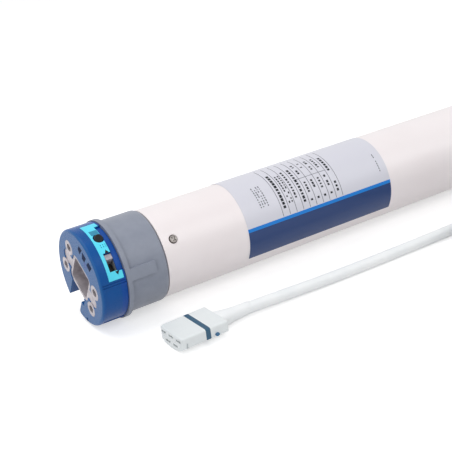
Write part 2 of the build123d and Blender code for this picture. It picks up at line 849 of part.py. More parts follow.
# Electronics carrier: half a shell with two end walls and a pair of rails for the board
carrier_inside = inside_radius - carrier_wall
board_half_width = sqrt(carrier_inside ** 2 - board_drop ** 2) - board_edge
with BuildPart() as electronics_carrier:
    with BuildSketch(section(carrier_start)):
        band(carrier_inside, inside_radius, 180, 180)
    extrude(amount=carrier_length)
    for start in (carrier_start, carrier_stop - carrier_end):
        with BuildSketch(section(start)):
            disc(inside_radius, carrier_window / 2)
        extrude(amount=carrier_end)
    with BuildSketch(section(carrier_start)):
        with Locations(*[(i * board_half_width, -board_drop - rail_height / 2) for i in (-1, 1)]):
            Rectangle(2 * rail_width, rail_height)
        Circle(carrier_inside + carrier_wall / 2, mode=Mode.INTERSECT)
    extrude(amount=carrier_length)
save(electronics_carrier.part, "electronics_carrier")

# Control board and what stands on it
board_start = carrier_start + carrier_end + seat_fit
board_length = carrier_length - 2 * (carrier_end + seat_fit)
board_top = axis_height - board_drop + board_thickness


# Plane on the control board, at a share of its length.
def on_board(share, side=0, rise=0):
    return Plane(origin=(head_x + board_start + share * board_length, side, board_top + rise))


# Upright plane over the control board that looks along it, at a share of its length.
def along_board(share, back, rise):
    origin = (head_x + board_start + share * board_length - back, 0, board_top + rise)
    return Plane(origin=origin, x_dir=(0, 1, 0), z_dir=(1, 0, 0))


with BuildPart() as control_board:
    with BuildSketch(on_board(0.5, rise=-board_thickness)):
        Rectangle(board_length, 2 * board_half_width)
        with GridLocations(board_length - 4 * rail_width, 2 * board_half_width - 3 * rail_width, 2, 2):
            Circle(rail_width / 2, mode=Mode.SUBTRACT)
    extrude(amount=board_thickness)
save(control_board.part, "control_board")

with BuildPart() as relays:
    with BuildSketch(on_board(relay_share)):
        with GridLocations(0, relay_pitch, 1, 2):
            Rectangle(relay_size[0], relay_size[1])
    extrude(amount=relay_size[2])
    chamfer(relays.faces().sort_by(Axis.Z)[-2:].edges(), relay_edge)
save(relays.part, "relays")

with BuildPart() as power_transformer:
    with BuildSketch(on_board(transformer_share)):
        Rectangle(transformer_size[0] - transformer_yoke, transformer_size[1])
    extrude(amount=transformer_size[2])
    with BuildSketch(on_board(transformer_share)):
        RectangleRounded(transformer_size[0], transformer_size[1] - 2 * transformer_yoke, transformer_corner)
    extrude(amount=transformer_size[2] - transformer_yoke)
save(power_transformer.part, "power_transformer")

with BuildPart() as smoothing_capacitors:
    with BuildSketch(along_board(smoothing_share, smoothing_length / 2, smoothing_diameter / 2)):
        with GridLocations(smoothing_pitch, 0, 2, 1):
            Circle(smoothing_diameter / 2)
    extrude(amount=smoothing_length)
    fillet(smoothing_capacitors.edges().filter_by(GeomType.CIRCLE), smoothing_edge)
save(smoothing_capacitors.part, "smoothing_capacitors")

with BuildPart() as terminal_block:
    with BuildSketch(on_board(terminal_share)):
        Rectangle(terminal_size[0], terminal_size[1])
    extrude(amount=terminal_size[2])
    with BuildSketch(along_board(terminal_share, terminal_size[0] / 2, terminal_size[2] / 2)):
        with GridLocations(terminal_size[1] / core_count, 0, core_count, 1):
            Circle(terminal_hole / 2)
    extrude(amount=terminal_hole_depth, mode=Mode.SUBTRACT)
save(terminal_block.part, "terminal_block")

with BuildPart() as radio_module:
    with BuildSketch(on_board(radio_share, rise=radio_stand)):
        Rectangle(radio_size[0], radio_size[1])
    extrude(amount=radio_size[2])
    with BuildSketch(on_board(radio_share)):
        with GridLocations(0, radio_size[1] - radio_pins[1], 1, 2):
            Rectangle(*radio_pins)
    extrude(amount=radio_stand)
    with BuildSketch(on_board(radio_share, rise=radio_stand + radio_size[2])):
        RectangleRounded(radio_can[0], radio_can[1], radio_can_corner)
    extrude(amount=radio_can[2])
save(radio_module.part, "radio_module")

antenna_base = on_board(radio_share, antenna_side).origin
antenna_root = antenna_base + Vector(0, 0, antenna_foot_height / 2)
antenna_top = antenna_base + Vector(0, -antenna_lean, antenna_height)
with BuildPart() as antenna_wire:
    with BuildLine() as antenna_line:
        FilletPolyline(antenna_root, antenna_top, antenna_top + Vector(antenna_length, 0, 0), radius=antenna_bend)
    with BuildSketch(Plane(origin=antenna_line.line @ 0, z_dir=antenna_line.line % 0)):
        Circle(antenna_diameter / 2)
    sweep()
    with BuildSketch(Plane(origin=antenna_base)):
        Circle(antenna_diameter)
    extrude(amount=antenna_foot_height)
save(antenna_wire.part, "antenna_wire")

# Run capacitor and the two rubber collars that hold it in the tube
capacitor_radius = capacitor_diameter / 2
with BuildPart() as run_capacitor:
    with BuildSketch(section(capacitor_start)):
        Circle(capacitor_radius)
    extrude(amount=capacitor_length)
    fillet(run_capacitor.edges().filter_by(GeomType.CIRCLE), capacitor_edge)
    with BuildSketch(section(capacitor_start)):
        with GridLocations(stud_pitch, 0, 2, 1):
            Circle(stud_diameter / 2)
    extrude(amount=-stud_length)
save(run_capacitor.part, "run_capacitor")

with BuildPart() as capacitor_collars:
    for start in (capacitor_start + 2 * capacitor_edge, capacitor_stop - 2 * capacitor_edge - collar_width):
        with BuildSketch(section(start)):
            disc(inside_radius, capacitor_radius + running_fit)
            with Locations((0, inside_radius)):
                Rectangle(collar_slit, inside_radius, mode=Mode.SUBTRACT)
        extrude(amount=collar_width)
save(capacitor_collars.part, "capacitor_collars")

# Motor: two end shields, each a web with a rim and a bearing hub that reach towards the stator
shaft_radius = shaft_diameter / 2
shaft_hole = shaft_radius + 2 * axial_gap
bearing_radius = bearing_diameter / 2
with BuildPart() as end_shields:
    for web_station, towards in ((shield_start, 1), (front_shield_stop, -1)):
        with BuildSketch(section(web_station)):
            disc(inside_radius, shaft_hole)
            with PolarLocations((bearing_radius + inside_radius) / 2, shield_holes):
                Circle(shield_hole_diameter / 2, mode=Mode.SUBTRACT)
        extrude(amount=towards * shield_web)
        with BuildSketch(section(web_station)):
            disc(inside_radius, inside_radius - shield_rim)
        extrude(amount=towards * shield_length)
        with BuildSketch(section(web_station + towards * shield_web)):
            disc(bearing_radius + shield_rim, bearing_radius + running_fit)
        extrude(amount=towards * bearing_width)
save(end_shields.part, "end_shields")

rear_bearing_start = shield_start + shield_web
front_bearing_start = front_shield_stop - shield_web - bearing_width
with BuildPart() as rotor_bearings:
    for start in (rear_bearing_start, front_bearing_start):
        with BuildSketch(section(start)):
            disc(bearing_radius, shaft_radius + running_fit)
        extrude(amount=bearing_width)
        for face in (start, start + bearing_width - bearing_groove):
            with BuildSketch(section(face)):
                disc(bearing_race_diameters[1] / 2, bearing_race_diameters[0] / 2)
            extrude(amount=bearing_groove, mode=Mode.SUBTRACT)
save(rotor_bearings.part, "rotor_bearings")

slot_middle = (stator_slot_inner + stator_slot_outer) / 2
slot_height = stator_slot_outer - stator_slot_inner
with BuildPart() as stator_core:
    with BuildSketch(section(stator_start)):
        disc(inside_radius, stator_bore / 2)
        with PolarLocations(slot_middle, slot_count):
            Rectangle(slot_height, stator_slot_width, mode=Mode.SUBTRACT)
    extrude(amount=stator_length)
save(stator_core.part, "stator_core")

with BuildPart() as stator_windings:
    for start, towards in ((stator_start, -1), (stator_stop, 1)):
        with BuildSketch(section(start + towards * seat_fit)):
            disc(winding_outer, stator_slot_inner + winding_clearance)
        extrude(amount=towards * winding_length)
    winding_circles = stator_windings.edges().filter_by(GeomType.CIRCLE).group_by(Axis.X)
    fillet(winding_circles[0] + winding_circles[-1], winding_edge)
    with BuildSketch(section(stator_start - overrun)):
        with PolarLocations(slot_middle, slot_count):
            Rectangle(slot_height - 2 * winding_clearance, stator_slot_width - 2 * winding_clearance)
    extrude(amount=stator_length + 2 * overrun)
save(stator_windings.part, "stator_windings")

# Motor: rotor on the shaft that carries the first sun gear
rotor_radius = stator_bore / 2 - air_gap
with BuildPart() as rotor_core:
    with BuildSketch(section(stator_start)):
        disc(rotor_radius, shaft_radius + running_fit / 2)
    extrude(amount=stator_length)
    for start, towards in ((stator_start, -1), (stator_stop, 1)):
        with BuildSketch(section(start)):
            disc(rotor_radius - rotor_end_step, shaft_radius + rotor_end_ring)
        extrude(amount=towards * rotor_end_ring)
save(rotor_core.part, "rotor_core")

sun_end = stage_starts[0] + stage_widths[0]
with BuildPart() as motor_shaft:
    with BuildSketch(section(rear_bearing_start)):
        Circle(shaft_radius)
    extrude(amount=plate_front - rear_bearing_start)
    with BuildSketch(section(plate_front)):
        gear_face(gear_module, sun_teeth, turn=planet_turn)
    extrude(amount=sun_end - plate_front)
save(motor_shaft.part, "motor_shaft")


# A half turn from one point to another whose directions are opposite, as two arcs that share a tangent.
def half_turn(start, stop, forward):
    joint = (start + stop) / 2 + forward * ((stop - start).length / 2)
    first = TangentArc(start, joint, tangent=forward)
    TangentArc(joint, stop, tangent=first % 1)


# Least gap between the turns of a wire along a path of quarter turns, each sampled evenly.
def least_gap(edges, diameter, samples=10):
    points = [edge @ (i / samples) for edge in edges for i in range(samples)]
    apart = []
    for i, point in enumerate(points):
        apart += [(point - other).length for other in points[i + 2 * samples:]]
    return min(apart) - diameter


# What a tube along a path should hold, against what its solid holds.
def report_tube(name, solid, line, diameter):
    length = sum(edge.length for edge in line.edges())
    print(f"{name}: length {length:.0f} mm, volume {solid.volume:.0f}, "
          f"section x length {pi * diameter ** 2 / 4 * length:.0f}")
    return length


# Holding brake: pot magnet with guide pins, spring, armature plate, friction disc and fixed plate
spring_start = magnet_stop - magnet_pocket
spring_length = armature_start - brake_fit - spring_start
spring_rise = (spring_length - spring_wire) / (2 * spring_turns)
spring_radius = spring_diameter / 2
with BuildPart() as brake_magnet:
    with BuildSketch(section(magnet_start)):
        disc(magnet_diameter / 2, shaft_hole)
    extrude(amount=magnet_length)
    with BuildSketch(section(magnet_stop)):
        disc(spring_radius + spring_wire, spring_radius - spring_wire)
    extrude(amount=-magnet_pocket, mode=Mode.SUBTRACT)
    with BuildSketch(section(magnet_stop)):
        with PolarLocations(guide_radius, guide_count):
            Circle(guide_diameter / 2)
    extrude(amount=brake_stroke + armature_thickness)
save(brake_magnet.part, "brake_magnet")

with BuildPart() as brake_spring:
    with BuildLine() as spring_line:
        for half in range(2 * spring_turns):
            side = 1 if half % 2 == 0 else -1
            near = section(spring_start + spring_wire / 2 + half * spring_rise)
            far = section(spring_start + spring_wire / 2 + (half + 1) * spring_rise)
            half_turn(near.from_local_coords((side * spring_radius, 0, 0)),
                      far.from_local_coords((-side * spring_radius, 0, 0)), Vector(0, 0, side))
    with BuildSketch(Plane(origin=spring_line.line @ 0, z_dir=spring_line.line % 0)):
        Circle(spring_wire / 2)
    sweep()
save(brake_spring.part, "brake_spring")
report_tube("brake spring", brake_spring.part, spring_line, spring_wire)
print(f"brake spring: least gap {least_gap(spring_line.edges(), spring_wire):.2f} mm")

with BuildPart() as brake_armature:
    with BuildSketch(section(armature_start)):
        disc(armature_diameter / 2, shaft_hole)
        with PolarLocations(guide_radius, guide_count):
            Circle(guide_diameter / 2 + 2 * running_fit, mode=Mode.SUBTRACT)
    extrude(amount=armature_thickness)
save(brake_armature.part, "brake_armature")

with BuildPart() as brake_disc:
    with BuildSketch(section(disc_start)):
        disc(disc_diameter / 2, shaft_radius + running_fit / 2)
        with PolarLocations(disc_hole_radius, disc_holes):
            Circle(disc_hole_diameter / 2, mode=Mode.SUBTRACT)
    extrude(amount=disc_thickness)
save(brake_disc.part, "brake_disc")

with BuildPart() as brake_plate:
    with BuildSketch(section(plate_front)):
        disc(inside_radius, sun_radius + 2 * gear_module)
    extrude(amount=friction_plate)
save(brake_plate.part, "brake_plate")

# Gearbox: one ring gear, and per stage a sun, three planets and a carrier with their pins
with BuildPart() as ring_gear:
    with BuildSketch(section(gear_start)):
        Circle(inside_radius)
    extrude(amount=cap_start - gear_start)
    with BuildSketch(section(gear_start)):
        gear_face(gear_module, ring_teeth, internal=True, turn=planet_turn + 180 / ring_teeth)
    extrude(amount=cap_start - gear_start, mode=Mode.SUBTRACT)
save(ring_gear.part, "ring_gear")

planet_turns = [planet_turn + 360 * i / planet_count for i in range(planet_count)]
pin_radii = [diameter / 2 for diameter in pin_diameters]


def planet(stage, turn):
    with BuildPart() as wheel:
        with BuildSketch(section(stage_starts[stage], turn, centre_radius)):
            gear_face(gear_module, planet_teeth, turn=180 + 180 / planet_teeth)
            Circle(pin_radii[stage] + running_fit, mode=Mode.SUBTRACT)
        extrude(amount=stage_widths[stage])
    return wheel.part


# Plate and pins of a carrier, in one piece.
def carrier_blank(stage):
    with BuildPart() as blank:
        with BuildSketch(section(carrier_starts[stage])):
            Circle(carrier_diameter / 2)
        extrude(amount=carrier_plates[stage])
        with BuildSketch(section(stage_starts[stage])):
            with PolarLocations(centre_radius, planet_count, start_angle=planet_turn):
                Circle(pin_radii[stage])
        extrude(amount=stage_widths[stage] + axial_gap)
    return blank.part


last_stage = len(stage_widths) - 1
for stage in range(last_stage + 1):
    for number, turn in enumerate(planet_turns, start=1):
        save(planet(stage, turn), f"planet_{stage + 1}_{number}")

for stage in range(last_stage):
    plate_stop = carrier_starts[stage] + carrier_plates[stage]
    with BuildPart() as carrier:
        add(carrier_blank(stage))
        with BuildSketch(section(plate_stop)):
            gear_face(gear_module, sun_teeth, turn=planet_turn)
        extrude(amount=axial_gap + stage_widths[stage + 1])
    save(carrier.part, f"carrier_{stage + 1}")

# Output shaft, in one piece with the last carrier, flat on one side where the drive wheel sits
output_radius = output_diameter / 2
last_plate_stop = carrier_starts[last_stage] + carrier_plates[last_stage]
with BuildPart() as output_shaft:
    add(carrier_blank(last_stage))
    with BuildSketch(section(last_plate_stop)):
        Circle(output_radius)
    extrude(amount=shaft_end - last_plate_stop)
    chamfer(output_shaft.faces().sort_by(Axis.X)[-1].edges(), clip_groove)
    with BuildSketch(section(wheel_start - axial_gap, 0, output_radius + shaft_flat)):
        Rectangle(2 * output_radius, 2 * output_diameter)
    extrude(amount=shaft_end, mode=Mode.SUBTRACT)
    with BuildSketch(section(clip_start)):
        disc(output_diameter, output_radius - clip_groove)
    extrude(amount=clip_thickness, mode=Mode.SUBTRACT)
save(output_shaft.part, "output_shaft")

# Gearbox cap with its bush
bush_radius = output_radius + running_fit + bush_wall
with BuildPart() as gearbox_cap:
    with BuildSketch(section(cap_start)):
        disc(inside_radius, bush_radius + running_fit / 2)
    extrude(amount=cap_depth)
    with BuildSketch(section(tube_end)):
        disc(tube_radius, bush_radius + running_fit / 2)
    extrude(amount=cap_rim)
    chamfer(gearbox_cap.faces().sort_by(Axis.X)[-1].edges().sort_by(SortBy.RADIUS)[-1], cap_edge)
    for turn in screw_turns:
        with BuildSketch(outward(screw_stations[1], turn, bush_radius + running_fit)):
            Circle(screw_shank_diameter / 2)
        extrude(amount=tube_radius, mode=Mode.SUBTRACT)
save(gearbox_cap.part, "gearbox_cap")

with BuildPart() as output_bush:
    with BuildSketch(section(cap_start)):
        disc(bush_radius, output_radius + running_fit)
    extrude(amount=cap_stop - cap_start)
save(output_bush.part, "output_bush")

# Drive wheel with two keys, and the clip that keeps it on the shaft
rim_middle = crown_radius - wheel_rim / 2
with BuildPart() as drive_wheel:
    with BuildSketch(section(wheel_start)):
        disc(crown_radius, crown_radius - wheel_rim)
        for turn in (planet_turn, planet_turn + 180):
            with PolarLocations((rim_middle + crown_flange_radius) / 2, 1, start_angle=turn):
                Rectangle(crown_flange_radius - rim_middle, key_width)
        Circle(crown_flange_radius, mode=Mode.INTERSECT)
        Circle(wheel_hub / 2)
    extrude(amount=wheel_width)
    with BuildSketch(section(wheel_start + (wheel_width - wheel_web) / 2)):
        Circle(rim_middle)
        with PolarLocations((wheel_hub / 2 + crown_radius - wheel_rim) / 2, wheel_holes,
                            start_angle=wheel_hole_turn):
            Circle(wheel_hole_diameter / 2, mode=Mode.SUBTRACT)
    extrude(amount=wheel_web)
    with BuildSketch(section(wheel_start)):
        Circle(output_radius + running_fit)
        with Locations((output_radius + shaft_flat + running_fit, 0)):
            Rectangle(2 * output_radius, 2 * output_diameter, mode=Mode.SUBTRACT)
    extrude(amount=wheel_width, mode=Mode.SUBTRACT)
save(drive_wheel.part, "drive_wheel")

with BuildPart() as wheel_clip:
    with BuildSketch(section(clip_start + running_fit)):
        band(output_radius - clip_groove + running_fit, output_radius + clip_width,
             clip_turn, 360 - clip_opening)
    extrude(amount=clip_thickness - 2 * running_fit)
save(wheel_clip.part, "wheel_clip")

# Plug of the mains cable, unplugged beside the head
plug_direction = (cos(radians(plug_turn)), sin(radians(plug_turn)), 0)
plug_plane = Plane(origin=(head_x + plug_ahead, -plug_side, 0), x_dir=plug_direction, z_dir=(0, 0, 1))
plug_crown_rise = plug_crown - sqrt(plug_crown ** 2 - (plug_width / 2) ** 2)
slot_rows = [(i * contact_pitch, plug_height - contact_row_front) for i in (-1, 0, 1)]
slot_rows += [(i * contact_pitch / 2, plug_height - contact_row_back) for i in (-1, 1)]


# Cross-section of the plug at a distance behind its front end: sketch X is across, sketch Y is up.
def across_plug(distance):
    origin = plug_plane.from_local_coords((distance, 0, 0))
    return Plane(origin=origin, x_dir=plug_plane.y_dir, z_dir=plug_plane.x_dir)


# Plane on the side of the plug, its normal pointing out: sketch X runs along the plug.
def beside_plug(distance, rise):
    origin = plug_plane.from_local_coords((distance, -plug_width / 2, rise))
    return Plane(origin=origin, x_dir=plug_plane.x_dir, z_dir=-plug_plane.y_dir)


with BuildPart() as plug_body:
    with BuildSketch(across_plug(0)):
        with BuildLine():
            half = plug_width / 2
            ThreePointArc((-half, plug_crown_rise), (0, 0), (half, plug_crown_rise))
            Polyline((half, plug_crown_rise), (half, plug_height), (-half, plug_height), (-half, plug_crown_rise))
        make_face()
    extrude(amount=plug_length)
    along_plug = Axis((0, 0, 0), plug_direction)
    fillet(plug_body.edges().filter_by(Axis.Z).sort_by(along_plug)[:2], plug_corner)
    rear_edges = plug_body.edges().filter_by(Axis.Z).sort_by(along_plug)[-2:]
    fillet(rear_edges + plug_body.faces().sort_by(Axis.Z)[-1].edges(), plug_edge)
    with BuildSketch(across_plug(plug_length - gland_root)):
        with Locations((0, plug_height / 2)):
            Circle(gland_diameter / 2)
    extrude(amount=gland_length + gland_root)
    with BuildSketch(across_plug(0)):
        with Locations(*slot_rows):
            Rectangle(*contact_slot)
    extrude(amount=contact_depth, mode=Mode.SUBTRACT)
    with BuildSketch(across_plug(contact_entry)):
        with Locations(*slot_rows):
            Rectangle(*contact_chamber)
    extrude(amount=contact_depth - contact_entry, mode=Mode.SUBTRACT)
    with BuildSketch(beside_plug(side_slit_back, plug_height / 2)):
        Rectangle(*side_slit)
    extrude(amount=-side_slit_depth, mode=Mode.SUBTRACT)
save(plug_body.part, "plug_body")

sleeve_size = [side - 2 * seat_fit for side in contact_chamber]
with BuildPart() as plug_contacts:
    with BuildSketch(across_plug(contact_entry + seat_fit)):
        with Locations(*slot_rows):
            Rectangle(*sleeve_size)
            Rectangle(sleeve_size[0] - 2 * sleeve_wall, sleeve_size[1] - 2 * sleeve_wall, mode=Mode.SUBTRACT)
    extrude(amount=sleeve_length)
save(plug_contacts.part, "plug_contacts")

with BuildPart() as plug_coding_stud:
    with BuildSketch(beside_plug(plug_length - latch_back, latch_height)):
        SlotOverall(*latch_size)
    extrude(amount=latch_thickness)
save(plug_coding_stud.part, "plug_coding_stud")

# Cable: its coil, in four layers that spiral in and out by turns
cable_radius = cable_diameter / 2
coil_step = (cable_diameter + coil_side_gap) / 2
coil_layer = cable_diameter + coil_layer_gap
coil_outer_radius = coil_inner_radius + coil_half_turns[0] * coil_step
coil_centre = Vector(head_x + coil_station, -coil_side - coil_outer_radius, 0)
half_total = sum(coil_half_turns) + len(coil_half_turns) - 1


def coil_point(half, radius, height):
    side = 1 if half % 2 == 0 else -1
    return coil_centre + Vector(0, side * radius, height)


with BuildPart() as cable_coil:
    with BuildLine() as coil_line:
        half = 0
        radius = coil_outer_radius
        height = coil_lift + cable_radius
        for layer, count in enumerate(coil_half_turns):
            towards = -1 if layer % 2 == 0 else 1
            for step in range(count + 1):
                if half == half_total:
                    break
                start = coil_point(half, radius, height)
                forward = Vector(1 if half % 2 == 0 else -1, 0, 0)
                if step < count:
                    radius += towards * coil_step
                else:
                    height += coil_layer
                half += 1
                half_turn(start, coil_point(half, radius, height), forward)
        tail_start = coil_point(half, radius, height)
        tail_forward = Vector(1 if half % 2 == 0 else -1, 0, 0)
        tail_end = tail_start + tail_forward * tail_straight
        Line(tail_start, tail_end)
    with BuildSketch(Plane(origin=coil_line.line @ 0, z_dir=coil_line.line % 0)):
        Circle(cable_radius)
    sweep()
save(cable_coil.part, "cable_coil")
coil_length = report_tube("cable coil", cable_coil.part, coil_line, cable_diameter)
print(f"cable coil: {half / 2} turns, radii {coil_inner_radius:.1f} to {coil_outer_radius:.1f} mm, "
      f"least gap {least_gap(coil_line.edges(), cable_diameter):.2f} mm")

# Cable: the stretch from the plug to the coil, along the floor
cable_start = plug_plane.from_local_coords((plug_length + gland_length, 0, plug_height / 2))
cable_stop = coil_line.line @ 0
route = [cable_start, cable_start + plug_plane.x_dir * cable_lead]
route += [Vector(head_x + station, -side, height) for station, side, height in cable_route]
route += [cable_stop - coil_line.line % 0 * cable_lead, cable_stop]
route_radii = []
for before, here, after in zip(route, route[1:], route[2:]):
    turn = radians((here - before).get_angle(after - here))
    shorter = min((here - before).length, (after - here).length)
    route_radii.append(corner_share * shorter / tan(turn / 2))
with BuildPart() as cable:
    with BuildLine() as cable_line:
        FilletPolyline(*route, radius=route_radii)
    with BuildSketch(Plane(origin=cable_line.line @ 0, z_dir=cable_line.line % 0)):
        Circle(cable_radius)
    sweep()
save(cable.part, "cable")
print("cable: radii", [round(radius) for radius in route_radii])
cable_length = report_tube("cable", cable.part, cable_line, cable_diameter)
print(f"whole cable {coil_length + cable_length:.0f} mm")

# Cores with their ferrules at the free end of the cable
with BuildPart() as core_ends:
    for length, diameter in ((core_free, core_diameter), (core_free + ferrule_length, ferrule_diameter)):
        with BuildSketch(Plane(origin=tail_end, x_dir=(0, 1, 0), z_dir=tail_forward)):
            with PolarLocations(core_ring_radius, core_count):
                Circle(diameter / 2)
        extrude(amount=length)
save(core_ends.part, "core_ends")

# Tie round the coil
bundle_width = coil_outer_radius - coil_inner_radius + cable_diameter
bundle_height = (len(coil_half_turns) - 1) * coil_layer + cable_diameter
tie_width_inside = bundle_width + 2 * axial_gap
tie_height_inside = bundle_height + 2 * axial_gap
tie_middle = Vector(-(coil_outer_radius + coil_inner_radius) / 2, -tie_width / 2, coil_lift + bundle_height / 2)
with BuildPart() as coil_tie:
    with BuildSketch(Plane(origin=coil_centre + tie_middle, x_dir=(1, 0, 0), z_dir=(0, 1, 0))):
        RectangleRounded(tie_width_inside + 2 * tie_thickness, tie_height_inside + 2 * tie_thickness, cable_radius)
        RectangleRounded(tie_width_inside, tie_height_inside, cable_radius - tie_thickness, mode=Mode.SUBTRACT)
    extrude(amount=tie_width)
save(coil_tie.part, "coil_tie")
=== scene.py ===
from math import cos, pi, radians, sin

import bmesh
import bpy
from mathutils import Matrix, Vector


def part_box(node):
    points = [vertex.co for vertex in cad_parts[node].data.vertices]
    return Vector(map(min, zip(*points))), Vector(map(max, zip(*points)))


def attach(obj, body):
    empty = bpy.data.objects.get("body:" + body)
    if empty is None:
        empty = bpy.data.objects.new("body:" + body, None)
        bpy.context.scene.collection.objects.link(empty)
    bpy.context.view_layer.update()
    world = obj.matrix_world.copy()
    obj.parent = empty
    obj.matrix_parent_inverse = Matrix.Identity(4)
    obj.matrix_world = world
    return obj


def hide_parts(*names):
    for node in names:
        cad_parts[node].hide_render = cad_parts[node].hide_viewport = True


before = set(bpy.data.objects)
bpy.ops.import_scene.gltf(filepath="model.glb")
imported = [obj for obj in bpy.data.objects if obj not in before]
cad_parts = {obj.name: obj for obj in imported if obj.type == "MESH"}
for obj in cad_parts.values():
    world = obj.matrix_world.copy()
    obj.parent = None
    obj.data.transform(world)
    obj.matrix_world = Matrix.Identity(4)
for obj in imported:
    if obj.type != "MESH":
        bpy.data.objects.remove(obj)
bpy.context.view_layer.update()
mm = 0.001
perMetre = 1000   # mm in a metre
print("frame loaded:", len(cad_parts), "nodes")

# The motor's axis and front face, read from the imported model
motor = {
    "frontX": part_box("head_cover")[0].x,
    "axisZ": (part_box("motor_tube")[0].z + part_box("motor_tube")[1].z) / 2,
    "headRadius": 31.0,   # mm, as are the sizes of every piece below
    "labelRadius": 29.21,
}


def addObject(name, data):
    made = bpy.data.objects.new(name, data)
    bpy.context.scene.collection.objects.link(made)
    return made


def fromFace(station, across, height):
    # station is behind the head's face, across is +Y, height is above the floor
    return Vector((motor["frontX"] + station * mm, across * mm, height * mm))


# Camera: solved from the rims, the bosses and the cable's line in the photograph
camera = {
    "place": (-0.53405, -0.5483, 0.2997),   # m, as is the clip
    "right": (0.844, -0.5239, -0.1151),
    "down": (-0.2982, -0.2798, -0.9126),
    "lens": 82.83,
    "sensor": 36.0,
    "clip": (0.01, 50.0),
}
right = Vector(camera["right"]).normalized()
forward = right.cross(Vector(camera["down"])).normalized()
down = forward.cross(right)
turned = Matrix((right, -down, -forward)).transposed()
lens = bpy.data.cameras.new("camera")
lens.lens = camera["lens"]
lens.sensor_width = camera["sensor"]
lens.clip_start, lens.clip_end = camera["clip"]
cameraObject = addObject("camera", lens)
cameraObject.matrix_world = Matrix.Translation(camera["place"]) @ turned.to_4x4()
bpy.context.scene.camera = cameraObject
print("camera set")

# Mains cable: from the plug along the floor, then wound in four layers that spiral in and out
plug = {
    "front": (24.8, -63.6),   # station and side of the plug's front end
    "turn": 2.5,              # degrees, the way it points
    "length": 32.4,
    "height": 10.6,
    "gland": 4.0,
}
cable = {
    "diameter": 7.7,
    "lead": 17.0,
    "bends": ((108.0, -62.4, 4.7), (150.0, -63.4, 3.9), (206.0, -63.5, 3.9), (246.0, -62.9, 3.9)),
    "coilStation": 287.0,
    "coilSide": -63.2,        # where the coil starts
    "coilRadius": 53.8,
    "layerHeight": 4.95,
    "step": 4.6,              # a half turn's change of radius
    "climb": 8.6,
    "halfTurns": (5, 5, 5, 2),
    "points": 8,              # for each half turn
    "outward": 1 / 0.981,     # the spline cuts inside its points by this share
    "tail": 13.0,
    "order": 3,               # of the spline
    "resolution": 5,          # steps between two of its points
    "roundness": 5,           # how finely its section is rounded
    "length": 2.82,           # m
}


def onPlug(distance, across, height):
    turn = radians(plug["turn"])
    return fromFace(
        plug["front"][0] + distance * cos(turn) - across * sin(turn),
        plug["front"][1] + distance * sin(turn) + across * cos(turn),
        height,
    )


def coilPoints():
    centre = Vector((cable["coilStation"], cable["coilSide"] - cable["coilRadius"], 0))
    radius = cable["coilRadius"]
    height = cable["layerHeight"]
    half = 0
    points = []
    total = sum(cable["halfTurns"]) + len(cable["halfTurns"]) - 1
    for layer, count in enumerate(cable["halfTurns"]):
        inward = -1 if layer % 2 == 0 else 1
        for step in range(count + 1):
            if half == total:
                break
            side = 1 if half % 2 == 0 else -1
            nextRadius = radius + inward * cable["step"] if step < count else radius
            nextHeight = height if step < count else height + cable["climb"]
            middle = centre + Vector((0, side * (radius - nextRadius) / 2, 0))
            reach = (radius + nextRadius) / 2 * cable["outward"]
            for i in range(cable["points"]):
                angle = pi * i / cable["points"]
                away = Vector((side * reach * sin(angle), side * reach * cos(angle), 0))
                rise = height + (nextHeight - height) * (1 - cos(angle)) / 2
                points.append(middle + away + Vector((0, 0, rise)))
            radius, height = nextRadius, nextHeight
            half += 1
    side = 1 if half % 2 == 0 else -1
    end = centre + Vector((0, side * radius, height))
    points.append(end)
    points.append(end + Vector((side * cable["tail"], 0, 0)))
    return [fromFace(*point) for point in points]


start = onPlug(plug["length"] + plug["gland"], 0, plug["height"] / 2)
route = [start, onPlug(plug["length"] + plug["gland"] + cable["lead"], 0, plug["height"] / 2)]
route += [fromFace(*bend) for bend in cable["bends"]]
route += [fromFace(cable["coilStation"] - cable["lead"], cable["coilSide"], cable["layerHeight"])]
route += coilPoints()
cableLine = bpy.data.curves.new("mainsCable", "CURVE")
cableLine.dimensions = "3D"
spline = cableLine.splines.new("NURBS")
spline.points.add(len(route) - 1)
for point, place in zip(spline.points, route):
    point.co = (*place, 1)
spline.order_u = cable["order"]
spline.use_endpoint_u = True
cableLine.resolution_u = cable["resolution"]
cableLine.bevel_depth = cable["diameter"] / 2 * mm
cableLine.bevel_resolution = cable["roundness"]
cableLine.use_fill_caps = True
mainsCable = addObject("mainsCable", cableLine)
print("cable laid:", len(route), "points")


def linear(code):
    # an sRGB hex value as the linear colour that a shader takes
    channels = [int(code[i:i + 2], 16) / 255 for i in (1, 3, 5)]
    return [c / 12.92 if c <= 0.04045 else ((c + 0.055) / 1.055) ** 2.4 for c in channels] + [1.0]


def addNode(tree, kind, settings=None, links=None):
    # a name in lower case is the node's own setting, any other name or number is an input
    node = tree.nodes.new(kind)
    for key, value in (settings or {}).items():
        if isinstance(key, str) and key[0].islower():
            setattr(node, key, value)
        else:
            node.inputs[key].default_value = value
    for key, source in (links or {}).items():
        tree.links.new(source, node.inputs[key])
    return node


def calculate(tree, operation, *values):
    # a number or a socket for each input
    settings = {"operation": operation}
    links = {}
    for slot, value in enumerate(values):
        if isinstance(value, (int, float)):
            settings[slot] = value
        else:
            links[slot] = value
    return addNode(tree, "ShaderNodeMath", settings, links).outputs[0]


def splitParts(tree, vector):
    return addNode(tree, "ShaderNodeSeparateXYZ", None, {0: vector}).outputs


